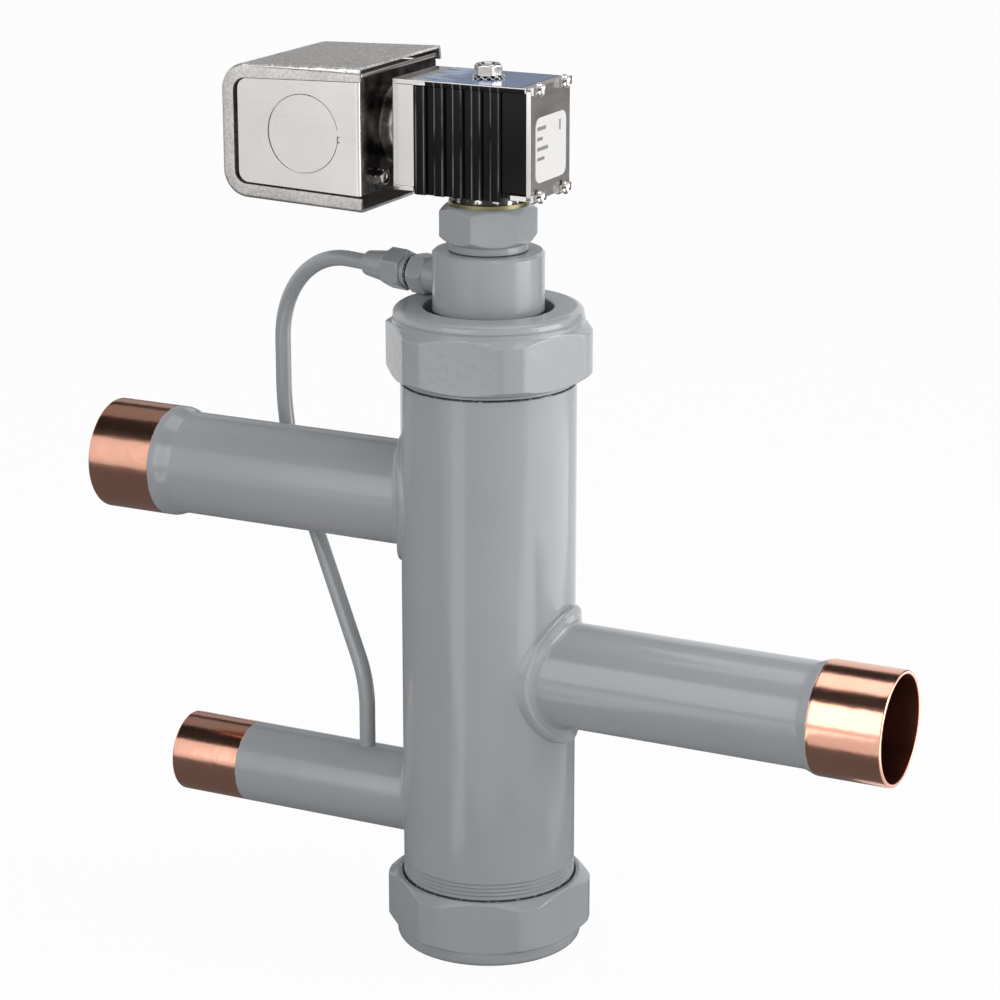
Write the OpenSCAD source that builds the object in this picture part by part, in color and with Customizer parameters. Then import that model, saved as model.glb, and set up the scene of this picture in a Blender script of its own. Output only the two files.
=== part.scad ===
// Hot gas defrost valve: a three-port valve with a solenoid pilot on top, a junction box beside
// the coil, and three copper stubs. Sizes are in millimetres.
// The base face lies on Z = 0 and the body stands along Z. The common port points along +X,
// the suction port and the hot gas port point along -X.

/* [Body] */
// Outside diameter of the body tube
body_od = 68; // [64:1:74]
// Wall of the body tube
body_wall = 5; // [4:0.5:6]
// Height of the hot gas port above the base
hot_gas_z = 54.5; // [50:0.5:60]
// Distance from the hot gas port up to the common port
common_rise = 60.5; // [56:0.5:66]
// Distance from the common port up to the suction port
suction_rise = 64.5; // [60:0.5:70]
// Free height between the stem and the pilot body
head_room = 6.8; // [4:0.1:12]
// Outside diameter of the raised boss round the common port
common_boss_od = 55; // [48:1:58]
// Height of the common boss above the body's surface
common_boss_rise = 2.4; // [1:0.1:5]
// Half width of the common boss across the body
common_boss_side = 24; // [22:0.5:27]
// Outside diameter of the raised boss round the suction port
suction_boss_od = 54; // [48:1:58]
// Height of the suction boss above the body's surface
suction_boss_rise = 1.8; // [1:0.1:5]
// Half width of the suction boss across the body
suction_boss_side = 23.6; // [22:0.1:26]
// Distance from one body thread groove to the next
thread_pitch = 1.6; // [1:0.1:2]
// Depth of the body thread grooves
thread_depth = 0.7; // [0.3:0.1:1]

/* [Union nuts] */
// Height of each union nut
nut_h = 27.3; // [24:0.1:32]
// Metal between a nut's flats and its thread
nut_wall = 3; // [2:0.1:6]
// How far the turned corners stand beyond the flats
nut_corner = 3.4; // [1:0.1:4]
// Height of the chamfer at both ends of the hexagon
nut_chamfer = 2.4; // [1:0.1:4]
// Height of the round collar
nut_collar_h = 5.6; // [4:0.1:8]
// Edge radius of the round collar
nut_collar_edge = 3.6; // [1:0.1:4]
// Thickness of the inward lip
nut_lip = 7.5; // [6:0.1:9]
// Hole through the lip
nut_hole = 50; // [46:0.5:54]
// Turn of the upper nut about the body
upper_nut_turn = 10; // [0:1:60]
// Turn of the lower nut about the body
lower_nut_turn = 20; // [0:1:60]

/* [Closures] */
// Thickness of the flange that each nut clamps
flange_t = 5.5; // [4:0.1:7]
// Thickness of each sealing gasket
gasket_t = 0.6; // [0.4:0.1:1.5]
// Depth of the spigots that enter the body bore
spigot_h = 5.4; // [4:0.1:7]
// Distance from the hot gas port's axis down to the top of the stem guide
guide_drop = 8.5; // [6:0.5:12]
// Outside diameter of the stem guide
guide_od = 18; // [16:0.5:20]

/* [Ports] */
// Outside diameter of the two large stubs
large_od = 41.2; // [38:0.1:44]
// Wall of the belled sockets
bell_wall = 1.66; // [1:0.01:2.5]
// Socket diameter of the large stubs
large_socket = 41.28; // [40.5:0.01:42]
// Socket depth of the large stubs
large_depth = 27; // [20:0.5:27]
// Wall of the large stubs
large_wall = 1.4; // [1:0.1:2]
// Wall of the hot gas stub's socket
small_wall = 2.01; // [1:0.01:3]
// Socket diameter of the hot gas stub
small_socket = 28.58; // [28:0.01:29.5]
// Socket depth of the hot gas stub
small_depth = 23; // [15:0.5:30]
// Height of the stop behind the hot gas stub's socket
small_stop = 1.29; // [0.5:0.01:3]
// Distance from the axis to the suction stub's end
suction_reach = 170.5; // [150:0.5:200]
// Distance from the axis to the common stub's end
common_reach = 171; // [150:0.5:200]
// Distance from the axis to the hot gas stub's end
hot_gas_reach = 138.5; // [130:0.5:170]
// Length of the suction stub's bell
suction_bell = 30.5; // [29:0.5:40]
// Length of the common stub's bell
common_bell = 28; // [27.5:0.5:40]
// Length of the shoulder behind each bell
bell_shoulder = 7; // [4:0.5:12]

/* [Main valve] */
// Travel of the main spool
stroke = 12; // [8:0.5:13]
// Diameter of the stem
stem_d = 10; // [8:0.5:11]
// Bore of the two seats
seat_bore = 32; // [28:0.5:34]
// Width of the raised seat lip
seat_lip_w = 2; // [1:0.1:2.5]
// Height of the raised seat lip
seat_lip_h = 1.5; // [1:0.1:2]
// Thickness of the seat rings
seat_t = 6.5; // [5:0.5:8]
// Distance from the hot gas port's edge to its seat
hot_gas_seat_gap = 8.2; // [7:0.1:9]
// Distance from the common port's edge to the upper seat
upper_seat_gap = 14.4; // [9:0.1:16]
// Diameter of the two valve discs
disc_d = 42; // [40:0.5:46]
// Thickness of the valve discs
disc_t = 6; // [5:0.5:7]
// Thickness of the sealing ring let into each disc
disc_seal_t = 2; // [1:0.1:3]
// Outside diameter of the spacers on the stem
spacer_d = 14; // [13:0.5:18]
// Thickness of the piston
piston_t = 14; // [10:0.5:14]
// Width of the piston ring
ring_w = 3; // [2:0.1:4]
// Depth of the piston ring's groove
ring_d = 2.5; // [2:0.1:4]
// Height of the nuts on the stem
stem_nut_h = 4; // [3:0.1:4.5]
// Wire diameter of the main spring
spring_wire = 2.4; // [1.5:0.1:3]
// Mean diameter of the main spring
spring_d = 26; // [23.5:0.5:30]
// Active turns of the main spring
spring_turns = 8; // [5:1:10]

/* [Pilot] */
// Diameter of the pilot body
pilot_od = 43; // [40:0.5:46]
// Height of the pilot body's top above the upper nut
pilot_h = 21.5; // [20:0.5:26]
// Clearance between the pilot port's fitting and the upper nut
pilot_port_gap = 0.1; // [0.1:0.1:1]
// Direction of the pilot port about the body
pilot_port_turn = 165; // [160:1:172]
// Length of the pilot port's boss
pilot_boss_l = 7.1; // [6:0.1:14]
// Travel of the pilot plunger
pilot_travel = 2.5; // [1:0.1:4]
// Bore of the pilot orifice
orifice_d = 2.4; // [1:0.1:4]
// Thread diameter of the tube nut
tube_nut_thread = 24; // [22:0.5:26]
// Distance across the flats of the tube nut
tube_nut_af = 33; // [32:0.5:38]
// Height of the tube nut's hexagon
tube_nut_h = 14.5; // [12:0.5:18]
// Diameter of the tube nut's neck
tube_nut_neck_d = 30.4; // [28:0.1:32]
// Height of the tube nut's neck
tube_nut_neck_h = 3.3; // [2:0.1:6]
// Outside diameter of the enclosing tube
tube_d = 14; // [13:0.5:15]
// Wall of the enclosing tube
tube_wall = 0.8; // [0.5:0.1:1]

/* [Pilot line] */
// Distance across the flats of the union and the flare nut
fitting_af = 14.4; // [13:0.1:16]
// Length of the union's hexagon
union_hex_l = 8.5; // [4:0.1:10]
// Length of the flare nut's round skirt
flare_skirt_l = 3.8; // [2:0.1:6]
// Length of the flare nut's hexagon
flare_hex_l = 9.8; // [8:0.1:12]
// Length of the flare nut's tapered tail
flare_tail_l = 12; // [8:0.5:16]
// Diameter of the tail's thin end
flare_tail_d = 10; // [9:0.5:12]
// Outside diameter of the pilot tube
line_d = 6.4; // [6:0.1:8]
// Wall of the pilot tube
line_wall = 0.8; // [0.5:0.1:1.2]
// Distance from the axis to the outer leg of the pilot tube
line_reach = 111.8; // [108:0.1:125]
// Distance from the axis to the tap on the hot gas stub
line_tap_x = 55; // [50:0.5:70]
// Height of the line's lowest corner above the hot gas stub
line_drop = 27.2; // [20:0.1:40]
// Bend radius at the top of the pilot tube
line_bend_top = 38; // [20:0.5:42]
// Bend radius behind the suction stub
line_bend_mid = 75; // [30:1:80]
// Bend radius above the tap
line_bend_low = 35; // [20:1:45]

/* [Coil] */
// Thickness of the brass washer under the coil
washer_t = 1.5; // [1:0.1:3]
// Diameter of the brass washer
washer_d = 30.2; // [28:0.1:32]
// Sheet thickness of the coil frame
yoke_t = 1.8; // [1.5:0.1:2]
// Width of the coil frame, front to back
coil_w = 34; // [33:0.5:38]
// Height of the coil frame
coil_h = 42; // [40:0.5:50]
// Distance from the axis to the end plate
coil_right = 24; // [23.5:0.5:28]
// Distance from the axis to the frame's left wall
coil_left = 22.8; // [22.5:0.1:26]
// Depth of the pan drawn into the frame's lower wall
pan_h = 4; // [3:0.1:5]
// Number of cooling ribs on the front and on the back
rib_count = 5; // [3:1:5]
// Distance from one rib to the next
rib_pitch = 7.8; // [6.5:0.1:8]
// Width of a rib
rib_w = 5; // [3:0.1:5.5]
// How far a rib stands out
rib_rise = 1.2; // [0.5:0.1:1.8]
// How far the ribbed walls hang below the frame's lower wall
rib_drop = 1.3; // [0:0.1:2]
// Outside diameter of the winding
winding_d = 25.6; // [22:0.1:27]
// Wall of the bobbin
bobbin_wall = 1.2; // [0.8:0.1:2]
// Distance across the flats of the coil screw's head
screw_af = 9.5; // [8:0.5:12]
// Height of the coil screw's head
screw_h = 4.6; // [3:0.1:6]
// Diameter of the coil screw's thread
screw_d = 4.9; // [4:0.1:6]
// Outside diameter of the star washer
star_d = 12.4; // [12:0.1:15]
// Thickness of the labels
label_t = 0.15; // [0.1:0.05:0.3]
// Sheet thickness of the neck shroud
shroud_t = 0.8; // [0.5:0.1:1]
// Height of the shroud's folded edges
shroud_lip = 1.8; // [1:0.1:3]
// Length of the neck between the coil frame and the box
neck_l = 6.9; // [5:0.1:9]

/* [Junction box] */
// Sheet thickness of the box
box_t = 1; // [0.8:0.1:1.2]
// Depth of the box, front to back
box_depth = 65; // [58:0.5:75]
// Length of the box
box_l = 60; // [55:0.5:70]
// Height of the box at its open end
box_h = 54.5; // [52:0.5:60]
// How much the cover's top and bottom each slope towards the round end
box_slope = 2; // [0:0.1:3]
// Corner radius of the round end
box_corner = 10.5; // [8:0.5:14]
// Width of the cover's inward rim
box_rim = 5.3; // [4:0.1:6]
// Diameter of the knockouts
knockout_d = 30; // [22:0.5:32]
// Diameter of the drawn boss beside the coil
box_boss_d = 31; // [27:0.5:33]
// Height of the drawn boss
box_boss_h = 6.4; // [5:0.1:8]
// Thread diameter of the bush
bush_d = 18; // [14:0.5:19]
// Bore of the bush
bush_bore = 13; // [10:0.5:14]

/* [Hidden] */
$fn = 64;
overlap = 0.5;
clear = 0.05;
seat_gap = 0.05;

body_r = body_od / 2;
bore_r = body_r - body_wall;
body_z0 = nut_lip + flange_t + gasket_t;
bell_od = large_socket + 2 * bell_wall;
small_od = small_socket + 2 * small_wall;
small_bore = small_socket - 2 * small_stop;
common_z = hot_gas_z + common_rise;
suction_z = common_z + suction_rise;
guide_top = hot_gas_z - guide_drop;
flange_r = body_r - 1;
flat_r = body_r + nut_wall;
corner_r = flat_r + nut_corner;
collar_r = flat_r - 0.1;

hot_gas_seat_z = hot_gas_z + small_od / 2 + hot_gas_seat_gap;
upper_seat_z = common_z + large_od / 2 + upper_seat_gap;
disc_low_z = hot_gas_seat_z - seat_gap - disc_t;
disc_high_z = upper_seat_z + stroke;
piston_z = suction_z + large_od / 2 + stroke + 0.9;
stem_z0 = disc_low_z - stem_nut_h - 35;
stem_z1 = piston_z + piston_t + stem_nut_h + 2;
plug_floor = body_z0 + spigot_h;
body_z1 = stem_z1 + head_room + spigot_h;
shell_h = body_z1 + body_z0;

pilot_top = shell_h + pilot_h;
pilot_port_z = shell_h + fitting_af / 2 + pilot_port_gap;
pilot_boss_d = fitting_af - 0.4;
pilot_boss_reach = pilot_od / 2 + pilot_boss_l;
pilot_floor_z = pilot_port_z - 4.5;
pilot_seat_z = pilot_floor_z + 2;
ledge_z = pilot_port_z + 4;
tube_flange_t = 1.5;
tube_flange_z = ledge_z + 0.5;
tube_r = tube_d / 2;
tube_bore_r = tube_r - tube_wall;
chamber_r = tube_nut_thread / 2 - 1.5;
hex_z = pilot_top + tube_nut_neck_h;
washer_z = hex_z + tube_nut_h;

yoke_z = washer_z + washer_t;
plate_low_z = yoke_z + pan_h;
yoke_top_z = plate_low_z + coil_h;
pan_r = 14;
plate_half = coil_w / 2 - 3;
wing_half = coil_w / 2 - 0.2;
skirt_end = -coil_left + 0.1 + (rib_count - 1) * rib_pitch + rib_w;
coil_mid_z = (plate_low_z + yoke_top_z) / 2 + 1.9;
bobbin_z0 = plate_low_z + yoke_t + 3.2;
bobbin_z1 = yoke_top_z - yoke_t - 3.2;
bobbin_r = tube_r + bobbin_wall + 0.3;
tab_y = coil_w / 2 - 6.2;
tab_w = 10;
tab_head = 1;
end_plate_x = coil_right + yoke_t;
core_z = yoke_top_z - yoke_t - 12.8;
plunger_top = core_z - pilot_travel - 0.1;
needle_l = 9;
pocket_l = 12;

fitting_z = pilot_port_z;
union_end = pilot_boss_reach + union_hex_l;
nut_start = union_end + 0.2;
nut_hex_start = nut_start + flare_skirt_l;
nut_tail_start = nut_hex_start + flare_hex_l;
nut_end = nut_tail_start + flare_tail_l;
union_nose = union_end + 8.5;
line_r = line_d / 2;
line_start = union_nose + 1;
tap_top = hot_gas_z + small_od / 2;
port_dir = [cos(pilot_port_turn), sin(pilot_port_turn), 0];
line_corners = [
    port_dir * line_start + [0, 0, fitting_z],
    port_dir * line_reach + [0, 0, fitting_z],
    port_dir * line_reach + [0, 0, suction_z + 7.5],
    [-line_tap_x, 0, tap_top + line_drop],
    [-line_tap_x, 0, tap_top - 2.2]
];
line_bends = [line_bend_top, line_bend_mid, line_bend_low];
bend_lap = 0.5;
bend_ease = 0.03;

shroud_x = -(coil_left + yoke_t + neck_l);
box_face_x = shroud_x - 0.05;
side_x = box_face_x - box_boss_h;
box_right = side_x + 1;
box_left = box_right - box_l;
box_z1 = coil_mid_z + box_h / 2 - 2.6;
box_z0 = box_z1 - box_h;
half_depth = box_depth / 2;
panel_y = half_depth - box_t - 0.1;
knockout_x = (box_left + box_right) / 2 + 4.7;
knockout_z = coil_mid_z - 2;

PAINT = "#969b9d";
COPPER = "#c98d6f";
STEEL = "#c9c9c6";
BRASS = "#c8b070";

// A tube standing on height z, from radius ri to radius ro
module ring(z, h, ro, ri) {
    translate([0, 0, z])
    difference() {
        cylinder(r = ro, h = h);
        translate([0, 0, -overlap]) cylinder(r = ri, h = h + 2 * overlap);
    }
}

// A round bar along X from x0 to x1 at height z
module bar_x(x0, x1, z, r) {
    translate([min(x0, x1), 0, z]) rotate([0, 90, 0]) cylinder(r = r, h = abs(x1 - x0));
}

// Places its children so that their Z axis points along the pilot port, from distance d
module along_port(d) {
    rotate([0, 0, pilot_port_turn]) translate([d, 0, fitting_z]) rotate([0, 90, 0]) children();
}

// A hexagonal prism, af across its flats
module hex_prism(af, h) {
    cylinder(d = af / cos(30), h = h, $fn = 6);
}

// A hexagon with both ends turned down to a cone
module turned_hex(af, h, chamfer) {
    r = af / cos(30) / 2;
    face_r = af / 2 - 1;
    intersection() {
        hex_prism(af, h);
        rotate_extrude() polygon([[0, 0], [face_r, 0], [r, chamfer], [r, h - chamfer],
            [face_r, h], [0, h]]);
    }
}

// A box given by its lowest and highest corners
module slab(low, high) {
    translate(low) cube(high - low);
}

// The steel body: a bored tube with two raised port bosses and its end threads
module body_tube() {
    color(PAINT)
    difference() {
        union() {
            translate([0, 0, body_z0]) cylinder(r = body_r, h = body_z1 - body_z0);
            port_boss(common_z, common_boss_od / 2, common_boss_side, common_boss_rise, 1);
            port_boss(suction_z, suction_boss_od / 2, suction_boss_side, suction_boss_rise, -1);
        }
        translate([0, 0, body_z0 - overlap]) cylinder(r = bore_r, h = shell_h);
        bar_x(0, body_od, common_z, large_od / 2 + clear);
        bar_x(0, -body_od, suction_z, large_od / 2 + clear);
        bar_x(0, -body_od, hot_gas_z, small_od / 2 + clear);
        thread_grooves(nut_h + 0.9);
        ring(shell_h - nut_h - 2.1, 1.9, body_r + 1, body_r - thread_depth);
    }
}

// An oval pad that follows the body's surface, at height z on the side given by sign.
// Two round bars of the same size, moved apart across the body, leave the oval between them.
module port_boss(z, r, half, rise, side) {
    shift = (r * r / half - half) / 2;
    intersection() {
        translate([0, shift, 0]) bar_x(0, side * body_od, z, half + shift);
        translate([0, -shift, 0]) bar_x(0, side * body_od, z, half + shift);
        translate([0, 0, z - r - 1]) cylinder(r = body_r + rise, h = 2 * r + 2);
    }
}

// Four V grooves of the lower thread that show above the lower nut
module thread_grooves(z) {
    for (i = [0 : 3])
        rotate_extrude() polygon([
            [body_r - thread_depth, z + (i + 0.5) * thread_pitch],
            [body_r + 0.1, z + (i + 0.1) * thread_pitch],
            [body_r + 0.1, z + (i + 0.9) * thread_pitch]]);
}

// A union nut: hexagon with turned corners, round collar and inward lip, open at Z = 0
module union_nut() {
    hex_h = nut_h - nut_collar_h;
    edge = nut_collar_edge;
    difference() {
        intersection() {
            rotate_extrude() polygon(concat(
                [[0, 0], [flat_r - 0.5, 0], [corner_r, nut_chamfer],
                    [corner_r, hex_h - nut_chamfer], [collar_r, hex_h]],
                [for (a = [0 : 15 : 90])
                    [collar_r - edge + edge * cos(a), nut_h - edge + edge * sin(a)]],
                [[0, nut_h]]));
            union() {
                hex_prism(2 * flat_r, hex_h + overlap);
                cylinder(r = collar_r, h = nut_h);
            }
        }
        translate([0, 0, -overlap]) cylinder(r = body_r + clear, h = nut_h - nut_lip + overlap);
        cylinder(d = nut_hole, h = nut_h + overlap);
    }
}

// The nut that clamps the pilot body
module upper_union_nut() {
    color(PAINT) translate([0, 0, shell_h - nut_h]) rotate([0, 0, upper_nut_turn]) union_nut();
}

// The nut that clamps the bottom plug
module lower_union_nut() {
    color(PAINT) translate([0, 0, nut_h]) mirror([0, 0, 1]) rotate([0, 0, lower_nut_turn]) union_nut();
}

// The plug that closes the body and guides the stem's lower end
module bottom_plug() {
    color(STEEL)
    difference() {
        union() {
            cylinder(r = nut_hole / 2 - 0.4, h = nut_lip + overlap);
            translate([0, 0, nut_lip]) cylinder(r = flange_r, h = flange_t);
            translate([0, 0, nut_lip + 1]) cylinder(r = bore_r - clear, h = plug_floor - nut_lip - 1);
            cylinder(d = guide_od, h = guide_top);
        }
        translate([0, 0, nut_lip + flange_t]) cylinder(r = stem_d / 2 + 0.06, h = guide_top);
    }
}

// The gasket between the plug's flange and the body
module bottom_gasket() {
    color("#4a4d50") ring(body_z0 - gasket_t, gasket_t, flange_r, bore_r);
}

// The gasket between the pilot body's flange and the valve body
module bonnet_gasket() {
    color("#4a4d50") ring(body_z1, gasket_t, flange_r, bore_r);
}

// The pilot body: flange and spigot below, neck above, with the port boss on its side
module pilot_body() {
    flange_z = body_z1 + gasket_t;
    neck_r = pilot_od / 2;
    color(PAINT)
    difference() {
        union() {
            translate([0, 0, body_z1 - spigot_h]) cylinder(r = bore_r - clear, h = spigot_h + 2);
            translate([0, 0, flange_z]) cylinder(r = flange_r, h = flange_t);
            rotate_extrude() polygon([[0, flange_z], [neck_r, flange_z], [neck_r, pilot_top - 1],
                [neck_r - 1, pilot_top], [0, pilot_top]]);
            along_port(neck_r - 5) cylinder(d = pilot_boss_d, h = pilot_boss_reach - neck_r + 5);
        }
        translate([0, 0, ledge_z]) cylinder(d = tube_nut_thread + 2 * clear, h = pilot_h);
        translate([0, 0, pilot_floor_z]) cylinder(r = chamber_r, h = pilot_h);
        translate([0, 0, pilot_floor_z - 8]) cylinder(r = 5, h = 10);
        translate([0, 0, body_z1 - spigot_h - 1]) cylinder(r = 3, h = pilot_h);
        along_port(0) cylinder(r = line_r - line_wall, h = pilot_boss_reach + 1);
        along_port(pilot_boss_reach - 8) cylinder(r = 5.5, h = 9);
    }
}

// A belled copper stub that points away from the body on the side given by sign
module large_stub(z, reach, bell, side) {
    r = large_od / 2;
    bell_r = bell_od / 2;
    bore = r - large_wall;
    shoulder = reach - bell - bell_shoulder;
    translate([0, 0, z]) rotate([0, 90 * side, 0])
    rotate_extrude() polygon(concat(
        [[bore, bore_r - 3], [r, bore_r - 3], [r, shoulder]],
        [for (t = [0.25 : 0.25 : 1])
            [r + (bell_r - r) * (1 - cos(180 * t)) / 2, shoulder + bell_shoulder * t]],
        [[bell_r, reach - 0.4], [bell_r - 0.4, reach], [large_socket / 2, reach],
            [large_socket / 2, reach - large_depth], [bore, reach - large_depth - 2]]));
}

// The suction port's stub
module suction_stub() {
    color(COPPER) large_stub(suction_z, suction_reach, suction_bell, -1);
}

// The common port's stub
module common_stub() {
    color(COPPER) large_stub(common_z, common_reach, common_bell, 1);
}

// The hot gas port's stub, with the tapped hole for the pilot tube
module hot_gas_stub() {
    r = small_od / 2;
    color(COPPER)
    difference() {
        translate([0, 0, hot_gas_z]) rotate([0, -90, 0])
        rotate_extrude() polygon([[small_bore / 2, bore_r - 2], [r, bore_r - 2],
            [r, hot_gas_reach - 0.4], [r - 0.4, hot_gas_reach], [small_socket / 2, hot_gas_reach],
            [small_socket / 2, hot_gas_reach - small_depth], [small_bore / 2, hot_gas_reach - small_depth]]);
        translate([-line_tap_x, 0, hot_gas_z]) cylinder(r = line_r + clear, h = small_od);
    }
}

// The hot gas seat: its lip faces down, towards the hot gas chamber
module lower_seat() {
    lip_r = seat_bore / 2 + seat_lip_w;
    color(BRASS) {
        difference() {
            union() {
                translate([0, 0, hot_gas_seat_z + seat_lip_h]) cylinder(r = bore_r - clear, h = seat_t);
                translate([0, 0, hot_gas_seat_z]) cylinder(r = lip_r, h = seat_lip_h + overlap);
            }
            translate([0, 0, hot_gas_seat_z - 1]) cylinder(d = seat_bore, h = seat_t + 4);
        }
    }
}

// The suction seat: its lip faces up, towards the suction chamber
module upper_seat() {
    lip_r = seat_bore / 2 + seat_lip_w;
    low = upper_seat_z - seat_lip_h - seat_t;
    color(BRASS)
    difference() {
        union() {
            translate([0, 0, low]) cylinder(r = bore_r - clear, h = seat_t);
            translate([0, 0, low + overlap]) cylinder(r = lip_r, h = upper_seat_z - low - overlap);
        }
        translate([0, 0, low - 1]) cylinder(d = seat_bore, h = seat_t + 4);
    }
}

// The steel stem that carries both discs and the piston
module valve_stem() {
    color(STEEL) translate([0, 0, stem_z0]) cylinder(d = stem_d, h = stem_z1 - stem_z0);
}

// A brass disc on the stem, with a groove for its sealing ring in the face at the given side
module valve_disc(z, seal_z) {
    mid_r = seat_bore / 2 + seat_lip_w / 2;
    difference() {
        ring(z, disc_t, disc_d / 2, stem_d / 2 + clear);
        ring(seal_z, disc_seal_t, mid_r + 2.5, mid_r - 2.5);
    }
}

// The sealing ring that lies in a disc's groove
module disc_seal(seal_z) {
    mid_r = seat_bore / 2 + seat_lip_w / 2;
    ring(seal_z, disc_seal_t, mid_r + 2.5 - clear / 2, mid_r - 2.5 + clear / 2);
}

// The disc that closes the hot gas seat from below
module lower_disc() {
    color(BRASS) valve_disc(disc_low_z, disc_low_z + disc_t - disc_seal_t);
}

// The sealing ring of the lower disc
module lower_disc_seal() {
    color("ivory") disc_seal(disc_low_z + disc_t - disc_seal_t);
}

// The disc that closes the suction seat from above
module upper_disc() {
    color(BRASS) valve_disc(disc_high_z, disc_high_z);
}

// The sealing ring of the upper disc
module upper_disc_seal() {
    color("ivory") disc_seal(disc_high_z);
}

// The spacer between the two discs
module disc_spacer() {
    z = disc_low_z + disc_t;
    color(STEEL) ring(z, disc_high_z - z, spacer_d / 2, stem_d / 2 + clear);
}

// The spacer between the upper disc and the piston
module piston_spacer() {
    z = disc_high_z + disc_t;
    color(STEEL) ring(z, piston_z - z, spacer_d / 2, stem_d / 2 + clear);
}

// The piston, with a groove for its ring
module piston() {
    r = bore_r - 0.2;
    color(BRASS)
    difference() {
        ring(piston_z, piston_t, r, stem_d / 2 + clear);
        ring(piston_z + (piston_t - ring_w) / 2, ring_w, r + 1, r - ring_d);
    }
}

// The sliding ring of the piston
module piston_ring() {
    r = bore_r - 0.2;
    color("#3d3b38")
    ring(piston_z + (piston_t - ring_w) / 2, ring_w, bore_r - 0.05, r - ring_d + clear);
}

// The two nuts that clamp the stack on the stem
module stem_nuts() {
    color(STEEL)
    for (z = [disc_low_z - stem_nut_h, piston_z + piston_t])
        translate([0, 0, z])
        difference() {
            turned_hex(stem_d + 7, stem_nut_h, 0.8);
            translate([0, 0, -overlap]) cylinder(r = stem_d / 2 + clear, h = stem_nut_h + 1);
        }
}

// Points of a circle of radius r carried along a coil, one list per step
function coil_ring(mid_r, wire_r, angle, z, sides) =
    [for (k = [0 : sides - 1])
        let (b = 360 * k / sides, rr = mid_r + wire_r * cos(b))
        [rr * cos(angle), rr * sin(angle), z + wire_r * sin(b)]];

// A round-wire compression spring from height z0 to z1, with a flat turn at each end
module spring(mid_r, wire_r, z0, z1, turns, steps, sides) {
    last = steps * (turns + 2);
    low = z0 + wire_r;
    high = z1 - wire_r;
    rise = high - low - 4 * wire_r;
    heights = [for (i = [0 : last])
        let (t = i / steps)
        t < 1 ? low + 2 * wire_r * t :
        t > turns + 1 ? high - 2 * wire_r * (turns + 2 - t) :
        low + 2 * wire_r + rise * (t - 1) / turns];
    points = [for (i = [0 : last]) each coil_ring(mid_r, wire_r, 360 * i / steps, heights[i], sides)];
    walls = [for (i = [0 : last - 1], k = [0 : sides - 1])
        let (a = i * sides, b = a + sides, n = (k + 1) % sides)
        each [[a + k, a + n, b + n], [a + k, b + n, b + k]]];
    ends = [[for (k = [sides - 1 : -1 : 0]) k], [for (k = [0 : sides - 1]) last * sides + k]];
    polyhedron(points = points, faces = concat(walls, ends));
}

// The spring that lifts the spool
module main_spring() {
    color("#8d8f90")
    spring(spring_d / 2, spring_wire / 2, plug_floor, disc_low_z, spring_turns, 20, 8);
}

// The pilot seat, a brass insert with a fine orifice
module pilot_seat() {
    color(BRASS)
    difference() {
        translate([0, 0, pilot_floor_z - 8]) rotate_extrude()
        polygon([[0, 0], [5 - clear, 0], [5 - clear, 8.6], [orifice_d / 2 + 1, 10], [0, 10]]);
        translate([0, 0, pilot_floor_z - 9]) cylinder(d = orifice_d, h = 12);
    }
}

// The sliding plunger with its needle and the pocket for its spring
module pilot_plunger() {
    needle_z = pilot_seat_z + seat_gap;
    color(STEEL)
    difference() {
        union() {
            translate([0, 0, needle_z]) cylinder(r = orifice_d / 2 + 1, h = needle_l + 1);
            translate([0, 0, needle_z + needle_l])
            cylinder(r = tube_bore_r - 0.08, h = plunger_top - needle_z - needle_l);
        }
        translate([0, 0, plunger_top - pocket_l]) cylinder(r = 3.4, h = pocket_l + 1);
    }
}

// The spring that closes the plunger
module plunger_spring() {
    color("#8d8f90") spring(2.6, 0.35, plunger_top - pocket_l, core_z, 7, 14, 6);
}

// The fixed core that closes the enclosing tube and takes the coil screw
module fixed_core() {
    color(STEEL)
    difference() {
        translate([0, 0, core_z]) cylinder(r = tube_bore_r - 0.02, h = yoke_top_z - yoke_t - 0.1 - core_z);
        translate([0, 0, core_z + 3]) cylinder(r = screw_d / 2 + clear, h = 12);
    }
}

// The thin steel tube that the plunger slides in, with its clamped flange
module enclosing_tube() {
    top = yoke_top_z - yoke_t - 0.1;
    color(STEEL)
    difference() {
        union() {
            translate([0, 0, tube_flange_z]) cylinder(d = tube_nut_thread - 0.2, h = tube_flange_t);
            translate([0, 0, tube_flange_z]) cylinder(r = tube_r, h = top - tube_flange_z);
        }
        translate([0, 0, tube_flange_z - 1]) cylinder(r = tube_bore_r, h = top);
    }
}

// The gasket under the enclosing tube's flange
module tube_gasket() {
    color("#4a4d50") ring(ledge_z, tube_flange_z - ledge_z, tube_nut_thread / 2 - 0.1, chamber_r);
}

// The painted hexagon nut that clamps the enclosing tube, with its neck and thread
module tube_nut() {
    thread_z = tube_flange_z + tube_flange_t;
    color(PAINT)
    difference() {
        union() {
            translate([0, 0, thread_z]) cylinder(d = tube_nut_thread, h = pilot_top - thread_z + 1);
            translate([0, 0, pilot_top]) cylinder(d = tube_nut_neck_d, h = tube_nut_neck_h + 1);
            translate([0, 0, hex_z]) turned_hex(tube_nut_af, tube_nut_h, 2.6);
        }
        translate([0, 0, thread_z - 1]) cylinder(r = tube_r + clear, h = washer_z - thread_z + 2);
    }
}

// The brass washer between the tube nut and the coil
module brass_washer() {
    color(BRASS) ring(washer_z, washer_t, washer_d / 2, tube_r + 0.1);
}

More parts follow.
